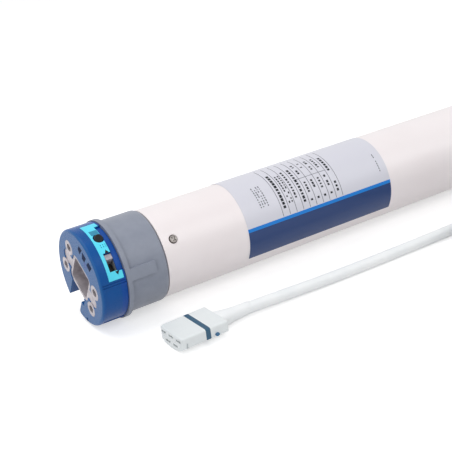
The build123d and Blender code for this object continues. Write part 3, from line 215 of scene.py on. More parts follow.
def startMaterial(name):
    # gives the tree and a vector in mm: station behind the face, +Y and up from the motor's axis
    material = bpy.data.materials.new(name)
    material.use_nodes = True
    tree = material.node_tree
    tree.nodes.clear()
    place = addNode(tree, "ShaderNodeTexCoord")
    shift = (-motor["frontX"] * perMetre, 0, -motor["axisZ"] * perMetre)
    onAxis = addNode(tree, "ShaderNodeMapping", {"Scale": (perMetre,) * 3, "Location": shift},
                     {"Vector": place.outputs["Object"]})
    return material, tree, onAxis.outputs[0]


def aroundAxis(tree, onAxis):
    # station and radius alone, so that a pattern runs round the axis as a lathe's marks do
    station, across, rise = splitParts(tree, onAxis)
    flat = addNode(tree, "ShaderNodeCombineXYZ", None, {1: across, 2: rise})
    radius = addNode(tree, "ShaderNodeVectorMath", {"operation": "LENGTH"}, {0: flat.outputs[0]})
    turned = addNode(tree, "ShaderNodeCombineXYZ", None, {0: station, 1: radius.outputs["Value"]})
    return turned.outputs[0]


def fadeBetween(tree, value, low, high, toLow=0.0, toHigh=1.0):
    limits = {1: low, 2: high, 3: toLow, 4: toHigh}
    return addNode(tree, "ShaderNodeMapRange", limits, {0: value}).outputs[0]


def blendColours(tree, share, first, second):
    # a hex value or a socket for each colour
    settings = {"data_type": "RGBA"}
    links = {0: share}
    for slot, colour in ((6, first), (7, second)):
        if isinstance(colour, str):
            settings[slot] = linear(colour)
        else:
            links[slot] = colour
    return addNode(tree, "ShaderNodeMix", settings, links).outputs[2]


def stepColours(tree, place, stops):
    # even colours that change at once: each stop is where a colour starts, from 0 to 1, and its hex value
    ramp = addNode(tree, "ShaderNodeValToRGB", None, {0: place})
    ramp.color_ramp.interpolation = "CONSTANT"
    elements = ramp.color_ramp.elements
    for i, (position, code) in enumerate(stops):
        element = elements[i] if i < 2 else elements.new(position)   # a new ramp has two
        element.position = position
        element.color = linear(code)
    return ramp.outputs[0]


# What a look has where it names nothing else; its blotch, grain, depth and pitch are sizes in mm
plainLook = {"metallic": 0.0, "specular": 0.5, "grainShare": 0.2}
# How the textures are set, and which part of their values is used
texture = {
    "grainDetail": 4.0, "grainRoughness": 0.6, "grainRange": (0.3, 0.7),
    "blotchDetail": 3.0, "blotchRange": (0.35, 0.65),
    "waveSpan": 0.314, "waveDetail": 2.0, "lineRange": (0.0, 0.45),   # a wave repeats each span at scale 1
}


def closeMaterial(tree, givenLook, colour, pattern, extraHeight=None):
    # roughness and relief come from a fine grain, the shader's even values are set on its own sockets
    look = plainLook | givenLook
    settings = {"Scale": 1 / look["grain"], "Detail": texture["grainDetail"],
                "Roughness": texture["grainRoughness"]}
    grain = addNode(tree, "ShaderNodeTexNoise", settings, {"Vector": pattern})
    rough = fadeBetween(tree, grain.outputs[0], *texture["grainRange"], *look["rough"])
    height = grain.outputs[0]
    if extraHeight is not None:
        height = calculate(tree, "MULTIPLY_ADD", grain.outputs[0], look["grainShare"], extraHeight)
    relief = addNode(tree, "ShaderNodeBump", {"Strength": 1.0, "Distance": look["depth"] * mm},
                     {"Height": height})
    settings = {"Metallic": look["metallic"], "Specular IOR Level": look["specular"]}
    if "ior" in look:
        settings["IOR"] = look["ior"]
    if "coat" in look:
        settings["Coat Weight"], settings["Coat Roughness"] = look["coat"]
    shader = addNode(tree, "ShaderNodeBsdfPrincipled", settings,
                     {"Base Color": colour, "Roughness": rough, "Normal": relief.outputs[0]})
    addNode(tree, "ShaderNodeOutputMaterial", None, {"Surface": shader.outputs[0]})
    return shader


def makeFinish(name, look):
    material, tree, onAxis = startMaterial(name)
    pattern = aroundAxis(tree, onAxis) if look.get("turned") else onAxis
    if "stretch" in look:
        pattern = addNode(tree, "ShaderNodeVectorMath", {"operation": "MULTIPLY", 1: look["stretch"]},
                          {0: pattern}).outputs[0]
    settings = {"Scale": 1 / look["blotch"], "Detail": texture["blotchDetail"]}
    blotch = addNode(tree, "ShaderNodeTexNoise", settings, {"Vector": pattern})
    share = fadeBetween(tree, blotch.outputs[0], *texture["blotchRange"])
    colour = blendColours(tree, share, *look["colours"])
    lines = None
    if "pitch" in look:
        # lines stand a pitch apart, with the colour between them in their gaps
        settings = {"Scale": texture["waveSpan"] / look["pitch"], "Distortion": look["waver"],
                    "Detail": texture["waveDetail"], "bands_direction": look["runs"]}
        wave = addNode(tree, "ShaderNodeTexWave", settings, {"Vector": aroundAxis(tree, onAxis)})
        lines = wave.outputs[1]
        onLine = fadeBetween(tree, lines, *texture["lineRange"])
        colour = blendColours(tree, onLine, look["between"], colour)
    closeMaterial(tree, look, colour, pattern, lines)
    return material


finishes = {
    # Moulded black nylon: near-black and satin, with the grain of the mould's spark-eroded steel
    "mouldedBlackNylon": {"colours": ("#1B1D20", "#25282C"), "blotch": 6.0, "grain": 0.35, "depth": 0.02,
                          "rough": (0.42, 0.55), "ior": 1.53},
    # Polished button: the darkest spot of the switch field, with a small highlight
    "glossyBlackButton": {"colours": ("#101214", "#1A1D20"), "blotch": 2.0, "grain": 0.5, "depth": 0.008,
                          "rough": (0.2, 0.3), "ior": 1.53, "specular": 0.25},
    # Slide knob: light cool grey that stands out in its dark slot
    "mouldedKnobGrey": {"colours": ("#B5B1BA", "#A29EA8"), "blotch": 1.5, "grain": 0.3, "depth": 0.015,
                        "rough": (0.35, 0.48), "ior": 1.53},
    # Block in the bay: deep dull blue, painted shade so that the notch reads as a shaded hollow
    "bayBlueWithPaintedShade": {"colours": ("#27415F", "#1F3550"), "blotch": 8.0, "grain": 0.4, "depth": 0.02,
                            "rough": (0.4, 0.52), "ior": 1.53},
    # Glass-filled nylon of the free-running crown: satin grey, fibres give a faint mottling
    "glassFilledGreyNylon": {"colours": ("#888E9D", "#848A99"), "blotch": 5.0, "grain": 0.45, "depth": 0.018,
                             "rough": (0.38, 0.5), "ior": 1.53, "coat": (0.08, 0.3)},
    # The same nylon undyed: matt bone white, a little cloudy
    "glassFilledWhiteNylon": {"colours": ("#DAD9D4", "#CFCDC7"), "blotch": 6.0, "grain": 0.4, "depth": 0.02,
                              "rough": (0.42, 0.55), "ior": 1.53},
    # Acetal gears: waxy white with a soft wide highlight
    "mouldedAcetal": {"colours": ("#E9E6DD", "#DED9CD"), "blotch": 3.0, "grain": 0.6, "depth": 0.01,
                      "rough": (0.32, 0.42), "ior": 1.48},
    # Stove enamel on the steel tube: warm white with a faint orange peel
    "stoveEnamelWhite": {"colours": ("#F7F0F1", "#F4ECED"), "blotch": 60.0, "grain": 2.2, "depth": 0.012,
                         "rough": (0.3, 0.4), "ior": 1.5, "coat": (0.15, 0.15)},
    # Zinc die casting, tumbled: pale grey with soft cloudy flow marks
    "tumbledZincCasting": {"colours": ("#C6C0C4", "#B0AAAF"), "blotch": 4.0, "grain": 0.5, "depth": 0.03,
                           "rough": (0.36, 0.52), "metallic": 0.6},
    # Zinc cap turned on a lathe: rings of fine marks that draw the light round it
    "turnedZincCap": {"colours": ("#A9A9AD", "#939398"), "blotch": 3.0, "grain": 0.35, "depth": 0.01,
                      "rough": (0.3, 0.45), "metallic": 1.0, "turned": True, "stretch": (1, 3, 1)},
    # Zinc-plated steel screws: small mirrors with a bright spot, their colour darkened as painted shade of
    # their recesses
    "platedSteelPaintedDark": {"colours": ("#8B8784", "#5F5A58"), "blotch": 1.2, "grain": 0.25, "depth": 0.015,
                         "rough": (0.2, 0.34), "metallic": 1.0},
    # Ground steel: bright, with hairline rings round the shaft
    "groundShaftSteel": {"colours": ("#C3C5C8", "#AFB1B5"), "blotch": 3.0, "grain": 0.3, "depth": 0.006,
                         "rough": (0.16, 0.26), "metallic": 1.0, "turned": True, "stretch": (4, 1, 1)},
    # Bearing rings: smooth bright steel with faint turning marks
    "turnedBearingSteel": {"colours": ("#B5B7BA", "#9B9DA1"), "blotch": 1.0, "grain": 0.25, "depth": 0.008,
                           "rough": (0.18, 0.3), "metallic": 1.0, "turned": True, "stretch": (2, 4, 1)},
    # Sintered gear steel: even mid grey with a pressed, slightly open grain
    "sinteredGearSteel": {"colours": ("#8A8B8E", "#6F7074"), "blotch": 2.0, "grain": 0.3, "depth": 0.02,
                          "rough": (0.38, 0.52), "metallic": 1.0},
    # Phosphated brake steel: dark and dull, almost without highlights
    "phosphatedBrakeSteel": {"colours": ("#4A4C50", "#3B3D41"), "blotch": 3.0, "grain": 0.4, "depth": 0.02,
                             "rough": (0.45, 0.6), "metallic": 0.8},
    # Galvanised sheet: cool pale grey with soft patches
    "galvanisedShieldSteel": {"colours": ("#B1B4B6", "#9CA0A3"), "blotch": 5.0, "grain": 0.5, "depth": 0.012,
                              "rough": (0.3, 0.45), "metallic": 1.0},
    # Stacked electrical sheet: dark lines between sheets, drawn at twice their pitch so that they show
    "stackedLaminations": {"colours": ("#7C7F84", "#6A6D72"), "blotch": 5.0, "grain": 0.6, "depth": 0.08,
                           "rough": (0.34, 0.5), "metallic": 0.9, "pitch": 1.0, "waver": 0.0, "runs": "X",
                           "between": "#3A3C40", "grainShare": 0.1},
    # Enamelled copper wire of 0.8 mm, wound and varnished: warm ridges under a wet-looking coat
    "varnishedCopperWire": {"colours": ("#B4552A", "#8E3D1C"), "blotch": 3.0, "grain": 0.8, "depth": 0.25,
                            "rough": (0.22, 0.36), "metallic": 0.75, "pitch": 0.8, "waver": 1.2,
                            "runs": "DIAGONAL", "between": "#4A1D0E", "coat": (0.5, 0.12)},
    # Sintered bronze bush: dull gold, darkened by its oil
    "sinteredBronze": {"colours": ("#B08A4E", "#93713C"), "blotch": 1.5, "grain": 0.25, "depth": 0.02,
                       "rough": (0.34, 0.48), "metallic": 1.0},
    # Tinned brass blades: bright and slightly wavy from stamping
    "tinnedBrass": {"colours": ("#CFC9B8", "#B9B09A"), "blotch": 2.0, "grain": 0.5, "depth": 0.008,
                    "rough": (0.18, 0.3), "metallic": 1.0, "stretch": (0.3, 1, 1)},
    # Sleeves inside the plug: bronze sheet, painted dull and dark as the shade of their slots
    "bronzeSleeveInPaintedShade": {"colours": ("#3E3830", "#2A2620"), "blotch": 1.0, "grain": 0.3, "depth": 0.01,
                            "rough": (0.42, 0.56), "metallic": 0.9},
    # Glass-epoxy board under green solder resist: glossy green with paler lines where tracks run
    "solderResistGreen": {"colours": ("#1F6B3C", "#185A31"), "blotch": 9.0, "grain": 0.5, "depth": 0.02,
                          "rough": (0.25, 0.36), "ior": 1.5, "pitch": 2.5, "waver": 3.0, "runs": "DIAGONAL",
                          "between": "#2A7F4A"},
    # Relay cases: plain mid blue with soft highlights
    "mouldedRelayBlue": {"colours": ("#2B4E86", "#24447A"), "blotch": 5.0, "grain": 0.4, "depth": 0.015,
                         "rough": (0.35, 0.46), "ior": 1.53},
    # Transformer: grey sheets with yellow tape showing between them
    "transformerSteelAndTape": {"colours": ("#6B6E73", "#5A5D62"), "blotch": 6.0, "grain": 0.5, "depth": 0.06,
                                "rough": (0.4, 0.55), "metallic": 0.7, "pitch": 1.0, "waver": 0.0,
                                "runs": "X", "between": "#C9A13A"},
    # Shrink-sleeved cans: dark blue and smooth, with a long highlight
    "sleevedAluminiumCan": {"colours": ("#23334D", "#1C2A41"), "blotch": 10.0, "grain": 0.6, "depth": 0.01,
                            "rough": (0.24, 0.34), "ior": 1.5},
    # Terminal block: flat mid green
    "mouldedTerminalGreen": {"colours": ("#3E8E5A", "#35804F"), "blotch": 4.0, "grain": 0.4, "depth": 0.015,
                             "rough": (0.4, 0.52), "ior": 1.53},
    # Rubber collars: black that takes almost no light
    "mouldedRubber": {"colours": ("#202123", "#2B2C2E"), "blotch": 3.0, "grain": 0.5, "depth": 0.03,
                      "rough": (0.62, 0.78), "ior": 1.52},
    # Brake lining: resin with brass chips, rough and speckled
    "pressedFrictionLining": {"colours": ("#4B3F36", "#7A6A4E"), "blotch": 0.8, "grain": 0.5, "depth": 0.06,
                              "rough": (0.65, 0.85), "ior": 1.5},
    # Nylon strap of the tie: milky, ribbed across
    "mouldedNylonStrap": {"colours": ("#E4E4E0", "#D8D8D3"), "blotch": 4.0, "grain": 0.5, "depth": 0.05,
                          "rough": (0.34, 0.45), "ior": 1.53, "pitch": 1.2, "waver": 0.0, "runs": "DIAGONAL",
                          "between": "#CDCDC8"},
    # Coding stud: a small clear blue against the white plug
    "mouldedStudBlue": {"colours": ("#2C6C96", "#255E85"), "blotch": 1.5, "grain": 0.3, "depth": 0.01,
                        "rough": (0.3, 0.42), "ior": 1.53},
    # Screen inks: flat, evenly printed, a little ragged in tone; black bars stand for the table's words
    "screenInkBlack": {"colours": ("#10141C", "#191E27"), "blotch": 0.8, "grain": 0.3, "depth": 0.004,
                       "rough": (0.4, 0.52), "ior": 1.5, "specular": 0.25},
    # Pad print on the face: navy that reads as a darker shade of the shell, with no shine
    "padPrintNavy": {"colours": ("#0E1F42", "#13274A"), "blotch": 1.5, "grain": 0.3, "depth": 0.004,
                     "rough": (0.5, 0.6), "ior": 1.5, "specular": 0.05},
    # Grey ink: the thin ruled lines, paler than the bars
    "screenInkGrey": {"colours": ("#474A54", "#565963"), "blotch": 0.8, "grain": 0.3, "depth": 0.004,
                      "rough": (0.4, 0.52), "ior": 1.5},
    # Teal ink: short bars on the pale switch field, and a deeper patch that is painted shade of the hollow
    # before the button
    "tealInkAndPaintedShade": {"colours": ("#0C8AAE", "#0A82A5"), "blotch": 1.2, "grain": 0.3, "depth": 0.004,
                      "rough": (0.36, 0.46), "ior": 1.5},
    # Blue ink: the thin ring on the face
    "screenInkBlue": {"colours": ("#123A94", "#17419C"), "blotch": 0.8, "grain": 0.3, "depth": 0.004,
                      "rough": (0.3, 0.4), "ior": 1.5, "specular": 0.25},
    # Switch field's film: clean bright cyan, the strongest colour on the object
    "printedCyanFilm": {"colours": ("#58E2FB", "#50DCF7"), "blotch": 5.0, "grain": 0.6, "depth": 0.006,
                        "rough": (0.34, 0.44), "ior": 1.5},
}
materials = {name: makeFinish(name, look) for name, look in finishes.items()}

# Head shell: ABS moulded in blue, the side polished and deep. The face is paler only in its colour: painted
# sheen for the light that falls on it.
shellLook = {
    # The face's paler blue is painted sheen; it fades into the side's own blue just behind the face
    "face": "#27629F", "side": ("#10559E", "#0E4E92"), "channel": "#124C9F",
    "faceSheenEnd": (0.2, 1.5), "channelStart": (13.2, 13.6),
    "blotch": 9.0, "grain": 0.35, "depth": 0.012, "rough": (0.24, 0.34), "ior": 1.53, "specular": 0.15,
}
material, tree, onAxis = startMaterial("blueShellWithPaintedFaceSheen")
station = splitParts(tree, onAxis)[0]
blotch = addNode(tree, "ShaderNodeTexNoise", {"Scale": 1 / shellLook["blotch"]}, {"Vector": onAxis})
side = blendColours(tree, blotch.outputs[0], *shellLook["side"])
# The front face gets the painted sheen, the stations behind it the side's blue
pastFaceSheen = fadeBetween(tree, station, *shellLook["faceSheenEnd"])
inChannel = fadeBetween(tree, station, *shellLook["channelStart"])
colour = blendColours(tree, pastFaceSheen, shellLook["face"], side)
colour = blendColours(tree, inChannel, colour, shellLook["channel"])
closeMaterial(tree, shellLook, colour, onAxis)
materials["blueShellWithPaintedFaceSheen"] = material

# Type label: polyester film, light grey above, a bright stripe and a dark blue band below (turns in degrees)
labelLook = {
    "grey": "#DADAE4", "stripe": "#1080DA", "band": "#243F73",
    "stripeTurn": 167.0, "bandTurn": 171.5, "middleTurn": 100.0, "rampTurns": (160.0, 180.0),
    "grain": 0.8, "depth": 0.004, "rough": (0.28, 0.38), "ior": 1.55, "specular": 0.3,
}
material, tree, onAxis = startMaterial("printedPolyesterFilm")
upright = addNode(tree, "ShaderNodeMapping", {"Rotation": (-radians(labelLook["middleTurn"]), 0, 0)},
                  {"Vector": onAxis})
parts = splitParts(tree, upright.outputs[0])
turn = calculate(tree, "ARCTAN2", parts[2], parts[1])
firstTurn, lastTurn = labelLook["rampTurns"]
low, high = (radians(t - labelLook["middleTurn"]) for t in (firstTurn, lastTurn))
colour = stepColours(tree, fadeBetween(tree, turn, low, high), (
    (0.0, labelLook["grey"]),
    ((labelLook["stripeTurn"] - firstTurn) / (lastTurn - firstTurn), labelLook["stripe"]),
    ((labelLook["bandTurn"] - firstTurn) / (lastTurn - firstTurn), labelLook["band"]),
))
closeMaterial(tree, labelLook, colour, onAxis)
materials["printedPolyesterFilm"] = material

# Plug shell: polyamide moulded in cool white, with a coloured ring let in across its top and sides
plugLook = {
    "white": ("#EAEFF0", "#E4E9EB"), "ring": "#134F6E", "ringFrom": 16.4, "ringTo": 19.7,
    "blotch": 12.0, "grain": 0.6, "depth": 0.015, "rough": (0.34, 0.44), "ior": 1.53,
}
material, tree, onAxis = startMaterial("mouldedWhitePolyamide")
turn = radians(plug["turn"])
plugStart = Vector((plug["front"][0], plug["front"][1], 0))
plugStart.rotate(Matrix.Rotation(-turn, 3, "Z"))
alongPlug = addNode(tree, "ShaderNodeMapping", {"Rotation": (0, 0, -turn), "Location": -plugStart},
                    {"Vector": onAxis})
distance = splitParts(tree, alongPlug.outputs[0])[0]
blotch = addNode(tree, "ShaderNodeTexNoise", {"Scale": 1 / plugLook["blotch"]}, {"Vector": onAxis})
white = blendColours(tree, blotch.outputs[0], *plugLook["white"])
past = calculate(tree, "GREATER_THAN", distance, plugLook["ringFrom"])
before = calculate(tree, "LESS_THAN", distance, plugLook["ringTo"])
onRing = calculate(tree, "MULTIPLY", past, before)
closeMaterial(tree, plugLook, blendColours(tree, onRing, white, plugLook["ring"]), onAxis)
materials["mouldedWhitePolyamide"] = material

# Cable sheath: soft PVC, cool white, a satin skin with slight drag lines from extrusion
sheathLook = {
    "colours": ("#F6F8F9", "#F0F3F5"), "blotch": 18.0,
    "grain": 1.4, "depth": 0.02, "rough": (0.4, 0.52), "ior": 1.53,
}
materials["extrudedSheath"] = makeFinish("extrudedSheath", sheathLook)

# Core ends: five insulated cores, each of its own colour, with tinned ferrules
coreLook = {
    "colours": ("#6B4226", "#2F62B0", "#1E1F21", "#8A8D91", "#6FA03A"), "ferrule": "#C9C9C6",
    "axis": (-77.0, 30.75), "ferruleLength": 8.0,   # the bundle's side and height
    "grain": 0.4, "depth": 0.01, "rough": (0.32, 0.44), "ior": 1.5,
}
material, tree, onAxis = startMaterial("insulatedCores")
centre = (0, -coreLook["axis"][0], motor["axisZ"] * perMetre - coreLook["axis"][1])
fromTail = addNode(tree, "ShaderNodeVectorMath", {"operation": "ADD", 1: centre}, {0: onAxis})
parts = splitParts(tree, fromTail.outputs[0])
turn = calculate(tree, "ARCTAN2", parts[2], parts[1])
cores = len(coreLook["colours"])
insulation = stepColours(tree, fadeBetween(tree, turn, -pi, pi),
                         [(i / cores, code) for i, code in enumerate(coreLook["colours"])])
ferruleStart = (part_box("core_ends")[1].x - motor["frontX"]) * perMetre - coreLook["ferruleLength"]
onFerrule = calculate(tree, "GREATER_THAN", parts[0], ferruleStart)
shader = closeMaterial(tree, coreLook, blendColours(tree, onFerrule, insulation, coreLook["ferrule"]), onAxis)
tree.links.new(onFerrule, shader.inputs["Metallic"])
materials["insulatedCores"] = material
print("materials made:", len(materials))

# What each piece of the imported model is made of
dressing = {
    "torque_insert": "tumbledZincCasting",
    "head_cover": "blueShellWithPaintedFaceSheen",
    "switch_label": "printedCyanFilm",
    "switch_board": "solderResistGreen",
    "switch_bodies": "mouldedBlackNylon",
    "program_button": "glossyBlackButton",
    "direction_knob": "mouldedKnobGrey",
    "connector_block": "bayBlueWithPaintedShade",
    "contact_blades": "tinnedBrass",
    "head_core": "glassFilledWhiteNylon",
    "running_crown": "glassFilledGreyNylon",
    "encoder_pinion": "mouldedAcetal",
    "motor_tube": "stoveEnamelWhite",
    "tube_screws": "platedSteelPaintedDark",
    "type_label": "printedPolyesterFilm",
    "electronics_carrier": "mouldedBlackNylon",
    "control_board": "solderResistGreen",
    "relays": "mouldedRelayBlue",
    "power_transformer": "transformerSteelAndTape",
    "smoothing_capacitors": "sleevedAluminiumCan",
    "terminal_block": "mouldedTerminalGreen",
    "radio_module": "solderResistGreen",
    "antenna_wire": "mouldedBlackNylon",
    "run_capacitor": "glassFilledWhiteNylon",
    "capacitor_collars": "mouldedRubber",
    "end_shields": "galvanisedShieldSteel",
    "rotor_bearings": "turnedBearingSteel",
    "stator_core": "stackedLaminations",
    "stator_windings": "varnishedCopperWire",
    "rotor_core": "stackedLaminations",
    "motor_shaft": "groundShaftSteel",
    "brake_magnet": "phosphatedBrakeSteel",
    "brake_spring": "groundShaftSteel",
    "brake_armature": "phosphatedBrakeSteel",
    "brake_disc": "pressedFrictionLining",
    "brake_plate": "galvanisedShieldSteel",
    "ring_gear": "sinteredGearSteel",
    "carrier_1": "mouldedAcetal",
    "carrier_2": "sinteredGearSteel",
    "output_shaft": "groundShaftSteel",
    "gearbox_cap": "turnedZincCap",
    "output_bush": "sinteredBronze",
    "drive_wheel": "glassFilledGreyNylon",
    "wheel_clip": "platedSteelPaintedDark",
    "plug_body": "mouldedWhitePolyamide",
    "plug_contacts": "bronzeSleeveInPaintedShade",
    "plug_coding_stud": "mouldedStudBlue",
    "core_ends": "insulatedCores",
    "coil_tie": "mouldedNylonStrap",
}
for stage in (1, 2, 3):
    for number in (1, 2, 3):
        dressing[f"planet_{stage}_{number}"] = "mouldedAcetal" if stage == 1 else "sinteredGearSteel"
for node, finish in dressing.items():
    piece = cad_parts[node]
    if not piece.material_slots:
        piece.data.materials.append(materials[finish])
    for slot in piece.material_slots:
        slot.material = materials[finish]
print("nodes dressed:", len(dressing))


# Prints on round surfaces: rows of marks laid out flat, then wrapped round the motor's axis
def printTree():
    tree = bpy.data.node_groups.new("wrappedPrint", "GeometryNodeTree")
    sockets = (
        ("Rows", "NodeSocketInt"), ("First row", "NodeSocketFloat"), ("Row pitch", "NodeSocketFloat"),
        ("Marks", "NodeSocketInt"), ("First turn", "NodeSocketFloat"), ("Turn pitch", "NodeSocketFloat"),
        ("Mark width", "NodeSocketFloat"), ("Mark sweep", "NodeSocketFloat"),
        ("Thickness", "NodeSocketFloat"),
        ("Radius", "NodeSocketFloat"), ("Shortest", "NodeSocketFloat"), ("Fill", "NodeSocketFloat"),
        ("Steps", "NodeSocketInt"), ("Seed", "NodeSocketInt"), ("Centre", "NodeSocketVector"),
        ("Ink", "NodeSocketMaterial"),
    )
    for name, kind in sockets:
        tree.interface.new_socket(name, in_out="INPUT", socket_type=kind)
    tree.interface.new_socket("Geometry", in_out="OUTPUT", socket_type="NodeSocketGeometry")
    given = addNode(tree, "NodeGroupInput").outputs
    lastRow = calculate(tree, "SUBTRACT", given["Rows"], 1.0)
    rowsLength = calculate(tree, "MULTIPLY", lastRow, given["Row pitch"])
    lastMark = calculate(tree, "SUBTRACT", given["Marks"], 1.0)
    marksSweep = calculate(tree, "MULTIPLY", lastMark, given["Turn pitch"])
    grid = addNode(tree, "GeometryNodeMeshGrid", None,
                   {"Size X": rowsLength, "Size Y": marksSweep,
                    "Vertices X": given["Rows"], "Vertices Y": given["Marks"]})
    middleRow = calculate(tree, "MULTIPLY_ADD", rowsLength, 0.5, given["First row"])
    middleTurn = calculate(tree, "MULTIPLY_ADD", marksSweep, 0.5, given["First turn"])
    middle = addNode(tree, "ShaderNodeCombineXYZ", None, {0: middleRow, 1: middleTurn})
    points = addNode(tree, "GeometryNodeSetPosition", None,
                     {"Geometry": grid.outputs[0], "Offset": middle.outputs[0]})
    empty = calculate(tree, "SUBTRACT", 1.0, given["Fill"])
    dropped = addNode(tree, "FunctionNodeRandomValue", {"data_type": "BOOLEAN"},
                      {"Probability": empty, "Seed": given["Seed"]})
    kept = addNode(tree, "GeometryNodeDeleteGeometry", {"domain": "POINT"},
                   {"Geometry": points.outputs[0], "Selection": dropped.outputs[3]})
    markSize = addNode(tree, "ShaderNodeCombineXYZ", None,
                       {0: given["Mark width"], 1: given["Mark sweep"], 2: given["Thickness"]})
    mark = addNode(tree, "GeometryNodeMeshCube", {"Vertices X": 2, "Vertices Z": 2},
                   {"Size": markSize.outputs[0], "Vertices Y": given["Steps"]})
    share = addNode(tree, "FunctionNodeRandomValue", {"data_type": "FLOAT", 3: 1.0},
                    {2: given["Shortest"], "Seed": given["Seed"]})
    markScale = addNode(tree, "ShaderNodeCombineXYZ", {0: 1.0, 2: 1.0}, {1: share.outputs[1]})
    marks = addNode(tree, "GeometryNodeInstanceOnPoints", None,
                    {"Points": kept.outputs[0], "Instance": mark.outputs[0], "Scale": markScale.outputs[0]})
    real = addNode(tree, "GeometryNodeRealizeInstances", None, {0: marks.outputs[0]})
    flat = addNode(tree, "GeometryNodeInputPosition")
    along, turn, lift = splitParts(tree, flat.outputs[0])
    reach = calculate(tree, "ADD", lift, given["Radius"])
    across = calculate(tree, "MULTIPLY", reach, calculate(tree, "COSINE", turn))
    rise = calculate(tree, "MULTIPLY", reach, calculate(tree, "SINE", turn))
    wrapped = addNode(tree, "ShaderNodeCombineXYZ", None, {0: along, 1: across, 2: rise})
    placed = addNode(tree, "GeometryNodeSetPosition", None,
                     {"Geometry": real.outputs[0], "Position": wrapped.outputs[0], "Offset": given["Centre"]})
    outward = addNode(tree, "GeometryNodeFlipFaces", None, {0: placed.outputs[0]})  # wrapping turns them in
    inked = addNode(tree, "GeometryNodeSetMaterial", None, {0: outward.outputs[0], "Material": given["Ink"]})
    addNode(tree, "NodeGroupOutput", None, {0: inked.outputs[0]})
    return tree


wrappedPrint = printTree()
# A group of marks where it names nothing else; stations, widths and inks in mm, turns and sweeps in degrees
noMarks = {
    "rows": 1, "rowPitch": 1.0, "marks": 1, "turnPitch": 1.0,
    "shortest": 1.0, "fill": 1.0, "steps": 2, "seed": 0,
}
inks = {"label": 0.06, "field": 0.05, "sunk": 1 / 4}   # thicknesses, and the share of one below the surface


def printRows(name, radius, thickness, ink, groups):
    # each group of marks is made by the node tree, and all of them are joined in one plain mesh
    joined = bmesh.new()
    centre = Vector((motor["frontX"], 0, motor["axisZ"]))
    for group in groups:
        rows = noMarks | group
        holder = addObject(name + "Holder", bpy.data.meshes.new(name + "Holder"))
        modifier = holder.modifiers.new("wrappedPrint", "NODES")
        modifier.node_group = wrappedPrint
        values = {
            "Rows": rows["rows"], "First row": rows["row"] * mm, "Row pitch": rows["rowPitch"] * mm,
            "Marks": rows["marks"], "First turn": radians(rows["turn"]),
            "Turn pitch": radians(rows["turnPitch"]), "Mark width": rows["width"] * mm,
            "Mark sweep": radians(rows["sweep"]), "Thickness": thickness * mm,
            "Radius": (radius + thickness * inks["sunk"]) * mm,
            "Shortest": rows["shortest"], "Fill": rows["fill"],
            "Steps": rows["steps"], "Seed": rows["seed"], "Centre": centre, "Ink": materials[ink],
        }
        for socket in wrappedPrint.interface.items_tree:
            if socket.in_out == "INPUT":
                modifier[socket.identifier] = values[socket.name]
        shaped = holder.evaluated_get(bpy.context.evaluated_depsgraph_get())
        plain = bpy.data.meshes.new_from_object(shaped)
        joined.from_mesh(plain)
        holder.modifiers.remove(modifier)
        bpy.data.objects.remove(holder)
    mesh = bpy.data.meshes.new(name)
    joined.to_mesh(mesh)
    joined.free()
    mesh.materials.clear()
    mesh.materials.append(materials[ink])
    return addObject(name, mesh)


# Table on the type label: ruled lines round the tube, one line along it, bars in place of words
labelLines = printRows("labelLines", motor["labelRadius"], inks["label"], "screenInkGrey", (
    {"row": 133.0, "rows": 10, "rowPitch": 5.33, "turn": 125.0, "width": 0.32, "sweep": 82.0, "steps": 42},
    {"row": 164.0, "turn": 126.0, "width": 24.0, "sweep": 0.6},
))
labelWords = printRows("labelWords", motor["labelRadius"], inks["label"], "screenInkBlack", (
    {"row": 135.7, "turn": 107.0, "marks": 11, "turnPitch": 4.8, "width": 1.9, "sweep": 4.2, "steps": 3,
     "shortest": 0.6, "fill": 0.93, "seed": 3},
    {"row": 140.2, "rows": 2, "rowPitch": 2.2, "turn": 112.0, "marks": 11, "turnPitch": 3.9, "width": 1.0,
     "sweep": 3.4, "steps": 3, "shortest": 0.45, "fill": 0.88, "seed": 5},
    {"row": 146.2, "turn": 108.0, "marks": 10, "turnPitch": 4.4, "width": 1.4, "sweep": 3.8, "steps": 3,
     "shortest": 0.5, "fill": 0.9, "seed": 6},
    {"row": 151.5, "turn": 108.0, "marks": 11, "turnPitch": 4.8, "width": 1.8, "sweep": 4.2, "steps": 3,
     "shortest": 0.6, "fill": 0.93, "seed": 7},
    {"row": 156.9, "rows": 4, "rowPitch": 5.33, "turn": 133.5, "marks": 4, "turnPitch": 4.2, "width": 1.5,
     "sweep": 3.5, "steps": 3, "shortest": 0.5, "fill": 0.8, "seed": 8},
    {"row": 156.9, "rows": 4, "rowPitch": 5.33, "turn": 157.5, "width": 1.6, "sweep": 3.2, "steps": 3,
     "shortest": 0.7, "seed": 2},
    {"row": 156.9, "rows": 4, "rowPitch": 5.33, "turn": 101.0, "marks": 5, "turnPitch": 4.2, "width": 1.5,
     "sweep": 3.5, "steps": 3, "shortest": 0.5, "fill": 0.75, "seed": 9},
    {"row": 178.3, "turn": 104.0, "marks": 6, "turnPitch": 4.6, "width": 1.7, "sweep": 4.0, "steps": 3,
     "shortest": 0.6, "seed": 10},
    {"row": 178.3, "turn": 146.0, "marks": 3, "turnPitch": 5.2, "width": 1.6, "sweep": 3.8, "steps": 3,
     "shortest": 0.6, "seed": 11},
))
labelSmallPrint = printRows("labelSmallPrint", motor["labelRadius"], inks["label"], "screenInkGrey", (
    {"row": 119.5, "rows": 4, "rowPitch": 1.8, "turn": 118.0, "marks": 9, "turnPitch": 3.5, "width": 0.7,
     "sweep": 3.1, "steps": 2, "shortest": 0.4, "fill": 0.85, "seed": 12},
    {"row": 215.0, "turn": 128.0, "marks": 8, "turnPitch": 3.4, "width": 0.6, "sweep": 2.9, "steps": 2,
     "shortest": 0.5, "fill": 0.9, "seed": 14},
))
